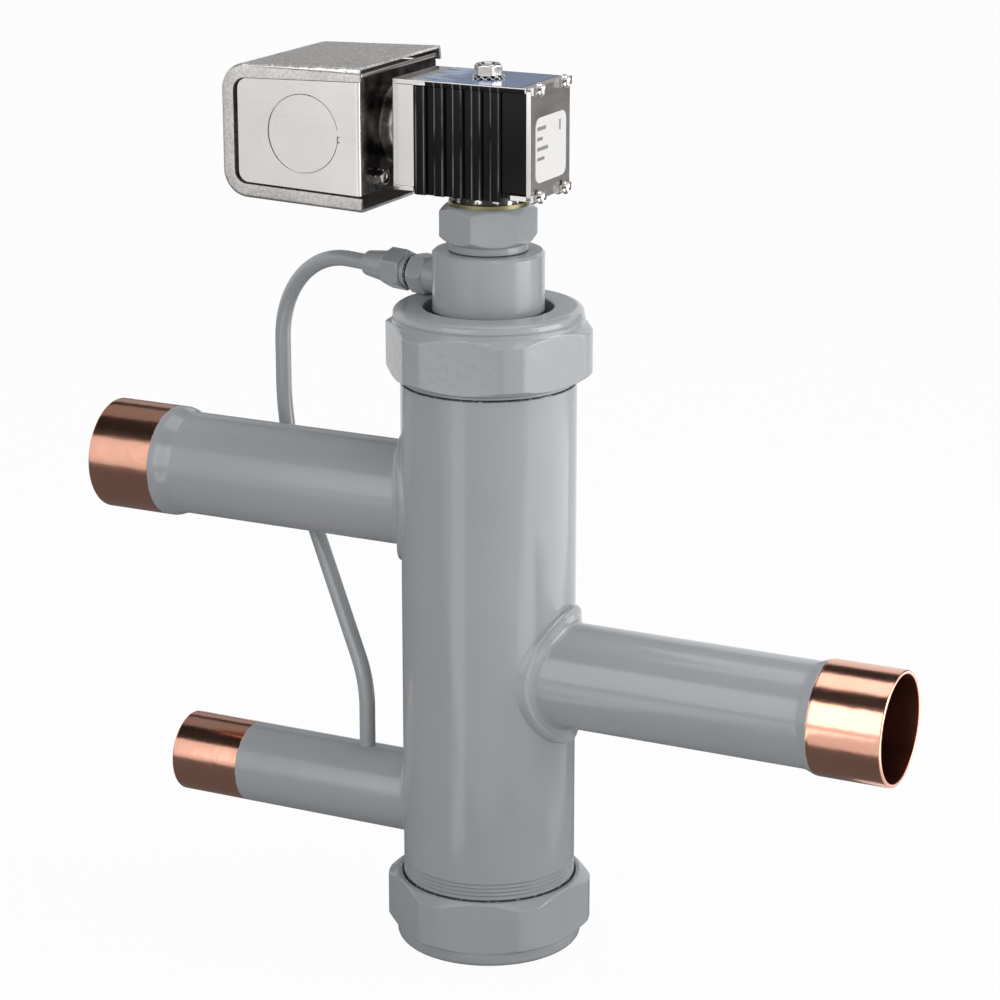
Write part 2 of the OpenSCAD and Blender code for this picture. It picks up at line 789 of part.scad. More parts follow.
// The folded coil frame: lower wall with its drawn pan, left wall, top wall and four staked tabs
module yoke_frame() {
    left = -coil_left - yoke_t;
    color(STEEL)
    difference() {
        union() {
            translate([0, 0, yoke_z]) cylinder(r = pan_r, h = pan_h + overlap);
            slab([left, -plate_half, plate_low_z], [coil_right, plate_half, plate_low_z + yoke_t]);
            translate([0, 0, plate_low_z]) linear_extrude(yoke_t) polygon([
                [skirt_end + 0.2, -plate_half], [skirt_end + 4, -wing_half], [coil_right, -wing_half],
                [coil_right, wing_half], [skirt_end + 4, wing_half], [skirt_end + 0.2, plate_half]]);
            slab([left, -plate_half, plate_low_z], [-coil_left, plate_half, yoke_top_z]);
            slab([-coil_left, -coil_w / 2, yoke_top_z - yoke_t], [coil_right, coil_w / 2, yoke_top_z]);
            for (y = [-tab_y, tab_y], z = [plate_low_z, yoke_top_z - yoke_t]) staked_tab(y, z);
        }
        translate([0, 0, yoke_z + yoke_t]) cylinder(r = pan_r - yoke_t, h = pan_h + overlap);
        translate([0, 0, yoke_z - 1]) cylinder(r = tube_r + 0.15, h = yoke_t + 2);
        translate([0, 0, yoke_top_z - yoke_t - 1]) cylinder(d = screw_d + 0.5, h = yoke_t + 2);
        bar_x(left - 1, -coil_left + 1, coil_mid_z, bush_bore / 2);
    }
}

// A tab of the frame that passes the end plate and is spread by a star-shaped stake
module staked_tab(y, z) {
    reach = end_plate_x + tab_head;
    difference() {
        union() {
            slab([coil_right - overlap, y - tab_w / 2, z], [reach, y + tab_w / 2, z + yoke_t]);
            slab([end_plate_x, y - tab_w / 2 - 0.6, z - 0.8],
                [reach, y + tab_w / 2 + 0.6, z + yoke_t + 0.4]);
        }
        for (a = [-45, 45])
            translate([reach, y, z + yoke_t / 2]) rotate([a, 0, 0]) cube([0.9, 0.7, 12], center = true);
    }
}

// The plate that closes the frame, notched for the tabs
module end_plate() {
    low = plate_low_z - 0.4;
    high = yoke_top_z + 0.2;
    half = coil_w / 2;
    color(STEEL)
    difference() {
        translate([coil_right, 0, 0]) rotate([90, 0, 90]) linear_extrude(yoke_t)
        rounded_outline(-half, half, low, high, 2.5);
        for (y = [-tab_y, tab_y]) {
            slab([coil_right - 1, y - tab_w / 2 - clear, yoke_top_z - yoke_t - clear],
                [end_plate_x + 1, y + tab_w / 2 + clear, high + 1]);
            slab([coil_right - 1, y - tab_w / 2 - clear, low - 1],
                [end_plate_x + 1, y + tab_w / 2 + clear, plate_low_z + yoke_t + clear]);
        }
    }
}

// A rectangle with round corners, drawn with arcs
module rounded_outline(x0, x1, y0, y1, r) {
    polygon([for (c = [[x1 - r, y1 - r, 0], [x0 + r, y1 - r, 90], [x0 + r, y0 + r, 180],
        [x1 - r, y0 + r, 270]], a = [0 : 15 : 90])
        [c[0] + r * cos(c[2] + a), c[1] + r * sin(c[2] + a)]]);
}

// The black moulding round the winding, ribbed on its front and back
module coil_moulding() {
    low = plate_low_z + yoke_t + 0.1;
    high = yoke_top_z - yoke_t - 0.1;
    skirt_z = plate_low_z - rib_drop;
    face = coil_w / 2 - rib_rise;
    left = -coil_left + 0.1;
    color("#1d1b1b")
    difference() {
        union() {
            slab([left, -face, low], [coil_right - 0.1, face, high]);
            for (side = [0, 180])
                rotate([0, 0, side]) mirror([side / 180, 0, 0]) {
                    slab([left, -face, skirt_z], [skirt_end, -plate_half - 0.1, low + 1]);
                    for (i = [0 : rib_count - 1])
                        translate([left + i * rib_pitch, 0, 0])
                        slab([0, -coil_w / 2, skirt_z], [rib_w, 1 - face, high]);
                }
        }
        translate([0, 0, low - 1]) cylinder(r = tube_r + 0.2, h = coil_h);
        translate([0, 0, bobbin_z0 - 0.1]) cylinder(d = winding_d + 1.2, h = bobbin_z1 - bobbin_z0 + 0.2);
    }
}

// The bobbin that the wire is wound on
module coil_bobbin() {
    flange_d = winding_d + 1;
    color("ivory")
    difference() {
        union() {
            translate([0, 0, bobbin_z0]) cylinder(r = bobbin_r, h = bobbin_z1 - bobbin_z0);
            translate([0, 0, bobbin_z0]) cylinder(d = flange_d, h = bobbin_wall);
            translate([0, 0, bobbin_z1 - bobbin_wall]) cylinder(d = flange_d, h = bobbin_wall);
        }
        translate([0, 0, bobbin_z0 - 1]) cylinder(r = bobbin_r - bobbin_wall, h = coil_h);
    }
}

// The copper winding
module coil_winding() {
    low = bobbin_z0 + bobbin_wall + 0.1;
    high = bobbin_z1 - bobbin_wall - 0.1;
    color("#a5603a") ring(low, high - low, winding_d / 2, bobbin_r + 0.1);
}

// The sheet shroud that joins the coil to the box and covers the leads
module neck_shroud() {
    half = coil_w / 2 + shroud_t - 0.5;
    inset = 0.5;
    low = plate_low_z;
    high = yoke_top_z;
    butt = -coil_left - yoke_t - 0.1;
    near = -coil_left - 0.1;
    color(STEEL)
    difference() {
        union() {
            slab([shroud_x, -half, low], [shroud_x + shroud_t, half, high]);
            for (side = [-1, 1]) {
                pair_y(shroud_x, near, side, half - inset - shroud_t, half - inset, low, high);
                pair_y(shroud_x, near, side, half - inset - shroud_t, half, high - shroud_lip, high);
                pair_y(shroud_x, near, side, half - inset - shroud_t, half, low, low + shroud_lip);
                pair_y(shroud_x, near, side, plate_half + 0.1, half, high - shroud_t, high);
            }
            slab([shroud_x, -half, high - shroud_t], [butt, half, high]);
            slab([shroud_x, -half, low], [butt, half, low + shroud_t]);
        }
        bar_x(shroud_x - 1, shroud_x + 2, coil_mid_z, bush_d / 2 + clear);
    }
}

// A block on the side given by sign, between two distances from the middle plane
module pair_y(x0, x1, side, near, far, z0, z1) {
    slab([x0, side < 0 ? -far : near, z0], [x1, side < 0 ? -near : far, z1]);
}

// The hollow bush that fastens the box to the shroud and passes the leads
module box_bush() {
    x = shroud_x + shroud_t;
    color(STEEL)
    difference() {
        union() {
            bar_x(x, x + 1.5, coil_mid_z, bush_d / 2 + 2.5);
            bar_x(x - 8, x + overlap, coil_mid_z, bush_d / 2);
        }
        bar_x(x - 9, x + 3, coil_mid_z, bush_bore / 2);
    }
}

// The nut that holds the bush inside the box's boss
module bush_nut() {
    color(STEEL)
    translate([box_face_x - box_t - 3, 0, coil_mid_z]) rotate([0, 90, 0])
    difference() {
        turned_hex(bush_d + 6, 3, 0.8);
        translate([0, 0, -overlap]) cylinder(r = bush_d / 2 + clear, h = 4);
    }
}

// The cover's outline moved inwards by a distance, drawn out past its open end by another
function cover_outline(inset, past) =
    let (r = box_corner - inset, slope = box_slope / box_l,
        x1 = box_right + past, x0 = box_left + inset,
        top = function(x) box_z1 - inset - slope * (box_right - x),
        low = function(x) box_z0 + inset + slope * (box_right - x))
    concat([[x1, top(x1)]],
        [for (a = [90 : 15 : 180]) [x0 + r + r * cos(a), top(x0 + r) - r + r * sin(a)]],
        [for (a = [180 : 15 : 270]) [x0 + r + r * cos(a), low(x0 + r) + r + r * sin(a)]],
        [[x1, low(x1)]]);

// Stands a flat outline in X and Z, from depth y0 to y1
module standing(y0, y1) {
    translate([0, y1, 0]) rotate([90, 0, 0]) linear_extrude(y1 - y0) children();
}

// The wrap-round cover with its inward rims, slots and dimples
module box_cover() {
    color(STEEL)
    difference() {
        standing(-half_depth, half_depth) polygon(cover_outline(0, 0));
        standing(box_t - half_depth, half_depth - box_t) polygon(cover_outline(box_t, 1));
        standing(-half_depth - 1, half_depth + 1) polygon(cover_outline(box_rim, 1));
        for (y = [-half_depth + 9, half_depth - 9])
            slab([box_right - 12, y - 0.7, box_z1 - 4], [box_right - 6, y + 0.7, box_z1 + 1]);
    }
}

// A pre-cut disc in a sheet that lies in X and Z: a fine gap with two ties
module knockout_gap(x, z, y) {
    translate([x, y, z]) rotate([90, 0, 0])
    difference() {
        ring(-box_t - 1, 2 * box_t + 2, knockout_d / 2 + 0.15, knockout_d / 2 - 0.15);
        for (a = [5, 185])
            rotate([0, 0, a]) slab([0, -1.2, -9], [knockout_d, 1.2, 9]);
    }
}

// One folded sheet: front and back panels with knockouts, and the side wall with its drawn boss
module box_base() {
    low = box_z0 + box_rim - 1.2;
    high = box_z1 - box_rim + 1.6;
    left = box_left + box_rim + 1.2;
    boss_r = box_boss_d / 2;
    color(STEEL)
    difference() {
        union() {
            for (y0 = [-panel_y, panel_y - box_t])
                standing(y0, y0 + box_t) rounded_outline(left, side_x, low, high, 0.5);
            slab([side_x - box_t, -panel_y, low + 2], [side_x, panel_y, high]);
            bar_x(side_x - box_t, box_face_x, coil_mid_z, boss_r);
        }
        bar_x(side_x - box_t - 1, box_face_x - box_t, coil_mid_z, boss_r - box_t);
        bar_x(side_x, box_face_x + 1, coil_mid_z, bush_d / 2 + clear);
        for (y = [-panel_y + box_t / 2, panel_y - box_t / 2])
            knockout_gap(knockout_x, knockout_z, y);
        slab([left - 1, -panel_y - 1, knockout_z - 2], [left + 1.7, panel_y + 1, knockout_z + 4.5]);
        translate([0, ground_screw_y(), 0]) bar_x(side_x - 2, side_x + 1, ground_screw_z(), 1.95);
    }
}

// Place of the ground screw on the side wall
function ground_screw_y() = -coil_w / 2 - 0.5;
function ground_screw_z() = box_z0 + 11.5;

// The ground screw, with a cross recess in its domed head
module ground_screw() {
    color(STEEL)
    translate([side_x, ground_screw_y(), ground_screw_z()]) rotate([0, 90, 0])
    difference() {
        union() {
            rotate_extrude() polygon([[0, 0], [3.4, 0], [3.4, 0.9], [2.4, 1.8], [0, 2.1]]);
            translate([0, 0, -7]) cylinder(r = 1.9, h = 7.5);
        }
        for (a = [0, 90])
            rotate([0, 0, a + 20]) translate([0, 0, 2]) cube([3.6, 0.8, 1.6], center = true);
    }
}

// The blue label on top of the coil
module top_label() {
    z = yoke_top_z;
    color("#4f74b0")
    difference() {
        slab([-coil_left + 0.8, -coil_w / 2 + 0.3, z], [coil_right - 2.5, coil_w / 2 - 0.3, z + label_t]);
        translate([0, 0, z - 1]) cylinder(d = screw_d + 0.5, h = 3);
    }
}

// The white label on the end plate
module end_label() {
    low = plate_low_z + 5.9;
    color("#eceaea")
    translate([end_plate_x, 0, 0]) rotate([90, 0, 90]) linear_extrude(label_t)
    rounded_outline(-coil_w / 2 + 4.3, coil_w / 2 - 3.7, low, low + 24.4, 3.5);
}

// The toothed lock washer under the coil screw
module star_washer() {
    z = yoke_top_z + label_t;
    r = star_d / 2;
    color(STEEL)
    difference() {
        translate([0, 0, z]) linear_extrude(0.8)
        polygon([
            for (i = [0 : 23])
                let (rr = i % 2 == 0 ? r : r - 1.1)
                [rr * cos(15 * i), rr * sin(15 * i)]
        ]);
        translate([0, 0, z - 1]) cylinder(d = screw_d + 0.3, h = 3);
    }
}

// The hexagon-head screw that holds the coil, with an indented head
module coil_screw() {
    z = yoke_top_z + label_t + 0.8;
    color(STEEL)
    difference() {
        union() {
            translate([0, 0, z]) rotate([0, 0, 12]) turned_hex(screw_af, screw_h, 0.7);
            translate([0, 0, core_z + 4]) cylinder(d = screw_d, h = z - core_z - 3);
        }
        translate([0, 0, z + screw_h - 1.4]) cylinder(d = screw_af * 0.62, h = 3);
    }
}

// The union screwed into the pilot port's boss
module pilot_union() {
    color(PAINT)
    along_port(0)
    difference() {
        union() {
            translate([0, 0, pilot_boss_reach - 7.5]) cylinder(r = 5.5 - clear, h = 8);
            translate([0, 0, pilot_boss_reach]) rotate([0, 0, 30]) turned_hex(fitting_af, union_hex_l, 1.2);
            translate([0, 0, union_end - 1]) cylinder(r = 5.2, h = union_nose - union_end + 1);
        }
        translate([0, 0, pilot_boss_reach - 9]) cylinder(r = line_r - line_wall, h = 40);
    }
}

// The long flare nut: round skirt, hexagon and tapered tail
module flare_nut() {
    skirt_r = fitting_af / 2 - 0.7;
    color(PAINT)
    along_port(0)
    difference() {
        union() {
            translate([0, 0, nut_start]) cylinder(r = skirt_r, h = flare_skirt_l + 1);
            translate([0, 0, nut_hex_start]) turned_hex(fitting_af, flare_hex_l, 1.4);
            translate([0, 0, nut_tail_start - 1])
            rotate_extrude() polygon([[0, 0], [skirt_r, 0], [skirt_r - 0.2, 2],
                [flare_tail_d / 2, flare_tail_l], [flare_tail_d / 2 - 1, flare_tail_l + 1],
                [0, flare_tail_l + 1]]);
        }
        translate([0, 0, nut_start - 1]) cylinder(r = 5.2 + clear, h = union_nose - nut_start + 1.5);
        cylinder(r = line_r + clear, h = nut_end + 1);
    }
}

// Unit vector of v
function unit(v) = v / norm(v);

// Distance from a corner of the pilot tube to where its bend starts
function setback(i) =
    let (u = unit(line_corners[i] - line_corners[i - 1]), v = unit(line_corners[i + 1] - line_corners[i]))
    line_bends[i - 1] * tan(acos(u * v) / 2);

// The straight lengths and the bends of the pilot tube, for a round bar of radius r.
// Each straight enters its bends a little, and the bends are a hair thicker.
module bent_bar(r, past) {
    last = len(line_corners) - 1;
    for (i = [0 : last - 1]) {
        u = unit(line_corners[i + 1] - line_corners[i]);
        from = line_corners[i] + u * (i == 0 ? -past : setback(i) - bend_lap);
        to = line_corners[i + 1] - u * (i == last - 1 ? -past : setback(i + 1) - bend_lap);
        side = unit(abs(u[2]) > 0.9 ? cross(u, [1, 0, 0]) : cross(u, [0, 0, 1]));
        frame(side, cross(u, side), u, from) cylinder(r = r, h = norm(to - from), $fn = 32);
    }
    for (i = [1 : last - 1]) {
        u = unit(line_corners[i] - line_corners[i - 1]);
        v = unit(line_corners[i + 1] - line_corners[i]);
        axis = unit(cross(u, v));
        out = cross(u, axis);
        from = line_corners[i] - u * setback(i);
        bend = line_bends[i - 1];
        frame(out, u, axis, from - out * bend)
        rotate_extrude(angle = acos(u * v)) translate([bend, 0]) circle(r = r + bend_ease, $fn = 32);
    }
}

// Places its children in the frame with axes x, y, z and origin o
module frame(x, y, z, o) {
    multmatrix([[x[0], y[0], z[0], o[0]], [x[1], y[1], z[1], o[1]], [x[2], y[2], z[2], o[2]], [0, 0, 0, 1]])
    children();
}

// The pilot tube from the flare nut, behind the suction stub, to the tap on the hot gas stub
module pilot_tube() {
    color(PAINT)
    difference() {
        bent_bar(line_r, 0);
        bent_bar(line_r - line_wall, 0.5);
    }
}

body_tube();
upper_union_nut();
lower_union_nut();
bottom_plug();
bottom_gasket();
bonnet_gasket();
pilot_body();
suction_stub();
common_stub();
hot_gas_stub();
lower_seat();
upper_seat();
valve_stem();
lower_disc();
lower_disc_seal();
upper_disc();
upper_disc_seal();
disc_spacer();
piston_spacer();
piston();
piston_ring();
stem_nuts();
main_spring();
pilot_seat();
pilot_plunger();
plunger_spring();
fixed_core();
enclosing_tube();
tube_gasket();
tube_nut();
brass_washer();
yoke_frame();
end_plate();
coil_moulding();
coil_bobbin();
coil_winding();
neck_shroud();
box_bush();
bush_nut();
box_base();
box_cover();
ground_screw();
top_label();
end_label();
star_washer();
coil_screw();
pilot_union();
flare_nut();
pilot_tube();
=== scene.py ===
# %% [markdown]
# # Hot gas defrost valve
# This valve stands upright on its lower nut. A grey painted steel body holds the sliding spool, two union
# nuts close it, three copper stubs join it to the pipes, and a solenoid pilot with a junction box sits on top.
# The CAD model gives every size. Here each visible piece gets the rounding, the joints and the finish that
# the real one has. Shapes are drawn in millimetres until the moment a mesh is made. Finishes and the stage are
# in metres.

import bmesh
import bpy
import numpy as np
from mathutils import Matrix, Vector


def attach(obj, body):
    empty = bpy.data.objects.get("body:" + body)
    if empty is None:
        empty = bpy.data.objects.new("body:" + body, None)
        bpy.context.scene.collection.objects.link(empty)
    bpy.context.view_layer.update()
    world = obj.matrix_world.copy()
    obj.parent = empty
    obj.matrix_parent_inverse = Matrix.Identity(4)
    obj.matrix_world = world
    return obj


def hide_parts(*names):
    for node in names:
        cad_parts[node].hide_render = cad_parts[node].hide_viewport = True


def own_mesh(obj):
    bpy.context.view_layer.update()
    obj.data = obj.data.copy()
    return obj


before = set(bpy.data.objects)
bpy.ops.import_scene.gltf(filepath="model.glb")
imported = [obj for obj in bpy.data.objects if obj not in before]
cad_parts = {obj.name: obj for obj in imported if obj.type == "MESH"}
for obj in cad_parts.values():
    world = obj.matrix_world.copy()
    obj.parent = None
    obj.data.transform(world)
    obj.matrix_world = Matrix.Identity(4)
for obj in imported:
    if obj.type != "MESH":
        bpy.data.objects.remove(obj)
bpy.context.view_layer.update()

# %% [markdown]
# ## Lines with round corners
# Almost every machined or folded edge is a straight line that turns through a small arc. One function rounds
# the corners of any line, flat or in space, and the pieces below are all drawn with it.


# %% Round the corners of a line
def unit(v):
    """The vector v divided by its length."""
    v = np.asarray(v, float)
    return v / np.linalg.norm(v)


def rounded(corners, radii, closed=False, arc=9.0):
    """A line through corners that turns each corner with an arc of its radius.

    With directions u in and v out and turning angle t, the arc starts r tan(t/2) before the corner, and its
    points are start + r (u sin a + w (1 - cos a)) for a from 0 to t, where w is normal to u on v's side.
    """
    corners = np.asarray(corners, float)
    n = len(corners)
    line = []
    for k in range(n):
        if radii[k] <= 0 or (not closed and k in (0, n - 1)):
            line.append(corners[k][None])
            continue
        u, v = unit(corners[k] - corners[k - 1]), unit(corners[(k + 1) % n] - corners[k])
        turn = np.arccos(np.clip(u @ v, -1, 1))
        w = unit(v - u * (u @ v))
        a = np.linspace(0, turn, max(3, int(np.degrees(turn) / arc) + 2))[:, None]
        start = corners[k] - u * radii[k] * np.tan(turn / 2)
        line.append(start + radii[k] * (u * np.sin(a) + w * (1 - np.cos(a))))
    return np.concatenate(line)


def spaced(line, step, closed=False):
    """The same line with a point at least every step, its own points kept."""
    ends = np.roll(line, -1, axis=0) if closed else line[1:]
    starts = line if closed else line[:-1]
    parts = [
        a + (b - a) * np.arange(m)[:, None] / m
        for a, b in zip(starts, ends)
        for m in [max(1, int(np.ceil(np.linalg.norm(b - a) / step)))]
    ]
    return np.concatenate(parts if closed else parts + [line[-1:]])


# %% [markdown]
# ## Surfaces from two parameters
# A turned part is a profile spun round an axis, a tube is a circle carried along a path, and a rounded block is
# a sphere whose octants were pulled apart. Each function returns a grid of points, worked out in one go.


# %% Turn, bend and round
def turned(profile, around=180, start=0.0):
    """Spins (r, h) round Z: the point is (r cos t, r sin t, h), for t all round from start."""
    t = start + np.linspace(0, 2 * np.pi, around, endpoint=False)[:, None]
    r, h = profile[:, 0], profile[:, 1]
    return np.stack([r * np.cos(t), r * np.sin(t), h + 0 * t], -1)


def hexagonal(points, across, turn, soft=0.5):
    """Cuts a turned surface to six flats with soft edges.

    A flat's distance at angle t is (across / 2) / cos(t - middle of the flat). The new radius is the smaller of
    the two, less max(soft - |difference|, 0)^2 / (4 soft), which rounds the edge between them.
    """
    x, y = points[..., 0], points[..., 1]
    r = np.hypot(x, y)
    away = (np.arctan2(y, x) - turn) % (np.pi / 3) - np.pi / 6
    flat = across / 2 / np.cos(away)
    edge = np.maximum(soft - np.abs(r - flat), 0) ** 2 / (4 * soft)
    new = np.where(r > 0.85 * across / 2, np.minimum(r, flat) - edge, r)
    scale = new / np.maximum(r, 1e-9)
    return np.stack([x * scale, y * scale, points[..., 2]], -1)


def placed(points, origin, along):
    """Turns local Z to the direction along and moves the local origin to origin."""
    w = unit(along)
    u = unit(np.cross([0, 1, 0], w))
    v = np.cross(w, u)
    return np.asarray(origin, float) + points[..., :1] * u + points[..., 1:2] * v + points[..., 2:] * w


def swept(path, radius, around=32):
    """A round bar along a path: centre + r (u cos a + v sin a), u = unit(t x Y), v = u x t, closed at both ends."""
    t = np.gradient(path, axis=0)
    t /= np.linalg.norm(t, axis=1)[:, None]
    u = np.cross(t, [0.0, 1.0, 0.0])
    u /= np.linalg.norm(u, axis=1)[:, None]
    v = np.cross(u, t)
    a = np.linspace(0, 2 * np.pi, around, endpoint=False)[:, None, None]
    rings = path + radius * (u * np.cos(a) + v * np.sin(a))
    ends = np.broadcast_to(path[[0, -1]], (around, 2, 3))
    return np.concatenate([ends[:, :1], rings, ends[:, 1:]], axis=1)


def rounded_block(low, high, radius, steps=5):
    """A box with round edges: each point is a corner of the inner box plus radius times the sphere's normal.

    The sphere's normal is (cos p cos t, cos p sin t, sin p), and the corner is the one in the normal's octant.
    """
    low, high = np.asarray(low, float), np.asarray(high, float)
    mid, half = (low + high) / 2, (high - low) / 2 - radius
    quarter = np.linspace(0, np.pi / 2, steps + 1)
    t = np.concatenate([quarter + k * np.pi / 2 for k in range(4)])[:, None]
    sx = np.repeat([1, -1, -1, 1], steps + 1)[:, None]
    sy = np.repeat([1, 1, -1, -1], steps + 1)[:, None]
    p = np.concatenate([quarter - np.pi / 2, quarter])[None]
    sz = np.repeat([-1, 1], steps + 1)[None]
    x = sx * half[0] + radius * np.cos(p) * np.cos(t)
    y = sy * half[1] + radius * np.cos(p) * np.sin(t)
    z = sz * half[2] + radius * np.sin(p) + 0 * t
    grid = mid + np.stack([x, y, z], -1)
    caps = [np.broadcast_to(mid + [0, 0, s * (half[2] + radius)], grid[:, :1].shape) for s in (-1, 1)]
    return np.concatenate([caps[0], grid, caps[1]], axis=1)


# %% [markdown]
# ## From points to a piece
# The grids become one mesh. Points that meet are merged, which closes the poles and the seams, and the faces
# are turned outwards. Each piece then rides on a body of the CAD model and may stand in for its plain node.


# %% Make a piece
MM = 0.001
MERGED = 2e-6


def quads(nu, nv, wrap_u, wrap_v):
    """Faces (i, j), (i+1, j), (i+1, j+1), (i, j+1) of a grid whose point (i, j) has the number i nv + j."""
    i, j = np.meshgrid(np.arange(nu - (not wrap_u)), np.arange(nv - (not wrap_v)), indexing="ij")
    i2, j2 = (i + 1) % nu, (j + 1) % nv
    return np.stack([i * nv + j, i2 * nv + j, i2 * nv + j2, i * nv + j2], -1).reshape(-1, 4)


def piece(name, grids, finish, stands_for=(), body="valve_body", crease=38.0):
    """One object from grids of points, each given as (points, wraps in u, wraps in v)."""
    points, faces, count = [], [], 0
    for grid, wrap_u, wrap_v in grids:
        faces.append(quads(*grid.shape[:2], wrap_u, wrap_v) + count)
        points.append(grid.reshape(-1, 3) * MM)
        count += len(points[-1])
    mesh = bpy.data.meshes.new(name)
    mesh.from_pydata(np.concatenate(points).tolist(), [], np.concatenate(faces).tolist())
    bm = bmesh.new()
    bm.from_mesh(mesh)
    bmesh.ops.remove_doubles(bm, verts=bm.verts, dist=MERGED)
    bmesh.ops.recalc_face_normals(bm, faces=bm.faces)
    bm.to_mesh(mesh)
    bm.free()
    mesh.shade_smooth()
    mesh.set_sharp_from_angle(angle=np.radians(crease))
    obj = bpy.data.objects.new(name, mesh)
    bpy.context.scene.collection.objects.link(obj)
    mesh.materials.append(finish.material)
    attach(obj, body)
    if stands_for:
        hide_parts(*stands_for)
    print(f"{name}: {len(mesh.polygons)} faces")
    return obj


def softened(node, finish, width=0.3, body="valve_body"):
    """A copy of a CAD node whose flat areas are made whole and whose sharp edges get a small bevel."""
    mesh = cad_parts[node].data.copy()
    for name in [a.name for a in mesh.attributes if a.name == "custom_normal"]:
        mesh.attributes.remove(mesh.attributes[name])
    bm = bmesh.new()
    bm.from_mesh(mesh)
    bmesh.ops.remove_doubles(bm, verts=bm.verts, dist=MERGED)
    bmesh.ops.dissolve_limit(bm, angle_limit=np.radians(1), verts=bm.verts, edges=bm.edges)
    bm.to_mesh(mesh)
    bm.free()
    mesh.shade_smooth()
    mesh.set_sharp_from_angle(angle=np.radians(35))
    mesh.materials.clear()
    mesh.materials.append(finish.material)
    obj = bpy.data.objects.new("soft_" + node, mesh)
    bpy.context.scene.collection.objects.link(obj)
    bevel = obj.modifiers.new("edges", "BEVEL")
    bevel.width, bevel.segments, bevel.limit_method = width * MM, 2, "ANGLE"
    bevel.angle_limit, bevel.harden_normals = np.radians(40), True
    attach(obj, body)
    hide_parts(node)
    print(f"soft_{node}: {len(mesh.polygons)} faces before its bevel")


# %% [markdown]
# ## Finishes as sums
# A finish is a small node tree. A wire stands for the number on a socket, and its operators add Math nodes, so a
# pattern can be written as a sum. Every pattern reads Object coordinates, which stay on the metal.


# %% Shader helpers
class Wire:
    """The number on a socket. +, -, *, /, <, > and abs each add one Math node."""

    def __init__(self, finish, socket):
        self.finish, self.socket = finish, socket

    def maths(self, operation, *values):
        return self.finish.node("ShaderNodeMath", {"operation": operation}, dict(enumerate(values)))

    def __add__(self, other):
        return self.maths("ADD", self, other)

    def __sub__(self, other):
        return self.maths("SUBTRACT", self, other)

    def __rsub__(self, other):
        return self.maths("SUBTRACT", other, self)

    def __mul__(self, other):
        return self.maths("MULTIPLY", self, other)

    def __truediv__(self, other):
        return self.maths("DIVIDE", self, other)

    def __lt__(self, other):
        return self.maths("LESS_THAN", self, other)

    def __gt__(self, other):
        return self.maths("GREATER_THAN", self, other)

    def __abs__(self):
        return self.maths("ABSOLUTE", self)

    def step(self, low, high):
        """0 below low, 1 above high and a smooth rise between them."""
        return self.finish.node(
            "ShaderNodeMapRange",
            {"interpolation_type": "SMOOTHSTEP"},
            {"Value": self, "From Min": low, "From Max": high},
        )

    __radd__, __rmul__ = __add__, __mul__


class Tree:
    """A node tree and a method for any node in it."""

    def __init__(self, tree):
        self.tree = tree
        self.tree.nodes.clear()

    def feed(self, socket, value):
        if isinstance(value, Wire):
            self.tree.links.new(value.socket, socket)
        else:
            socket.default_value = value

    def node(self, kind, settings={}, inputs={}, output=0):
        """Any node: its settings are set first, then its sockets are filled by name or number."""
        node = self.tree.nodes.new(kind)
        for name, value in settings.items():
            setattr(node, name, value)
        for name, value in inputs.items():
            self.feed(node.inputs[name], value)
        return None if output is None else Wire(self, node.outputs[output])


class Finish(Tree):
    """One material: its Principled shader, its Object coordinates and its patterns."""

    def __init__(self, name, **constants):
        self.material = bpy.data.materials.new(name)
        self.material.use_nodes = True
        super().__init__(self.material.node_tree)
        surface = self.node("ShaderNodeBsdfPrincipled")
        self.shader = surface.socket.node
        self.node("ShaderNodeOutputMaterial", {}, {"Surface": surface}, None)
        self.place = self.node("ShaderNodeTexCoord", output="Object")
        axes = self.node("ShaderNodeSeparateXYZ", {}, {0: self.place}).socket.node
        self.x, self.y, self.z = (Wire(self, axes.outputs[k]) for k in range(3))
        for socket, value in constants.items():
            self.feed(self.shader.inputs[socket.replace("_", " ")], value)
        print("Finish:", name)

    def noise(self, scale, detail=3.0, stretch=(1, 1, 1), rough=0.5):
        """Soft noise with about scale grains a metre, stretched along the axes."""
        spot = self.node("ShaderNodeMapping", {}, {"Vector": self.place, "Scale": stretch})
        return self.node(
            "ShaderNodeTexNoise", {}, {"Vector": spot, "Scale": scale, "Detail": detail, "Roughness": rough}
        )

    def mix(self, factor, first, second):
        """First where factor is 0, second where it is 1, for colours."""
        first, second = (v if isinstance(v, Wire) else (*v, 1) for v in (first, second))
        return self.node("ShaderNodeMix", {"data_type": "RGBA"}, {0: factor, 6: first, 7: second}, output=2)

    def colour(self, value):
        self.feed(self.shader.inputs["Base Color"], value if isinstance(value, Wire) else (*value, 1))

    def rough(self, value):
        self.feed(self.shader.inputs["Roughness"], value)

    def metal(self, value):
        self.feed(self.shader.inputs["Metallic"], value)

    def bump(self, height, depth):
        """Raises the surface by height (0 to 1) times depth in metres."""
        bump = self.node("ShaderNodeBump", {}, {"Height": height, "Distance": depth, "Strength": 1.0})
        self.feed(self.shader.inputs["Normal"], bump)
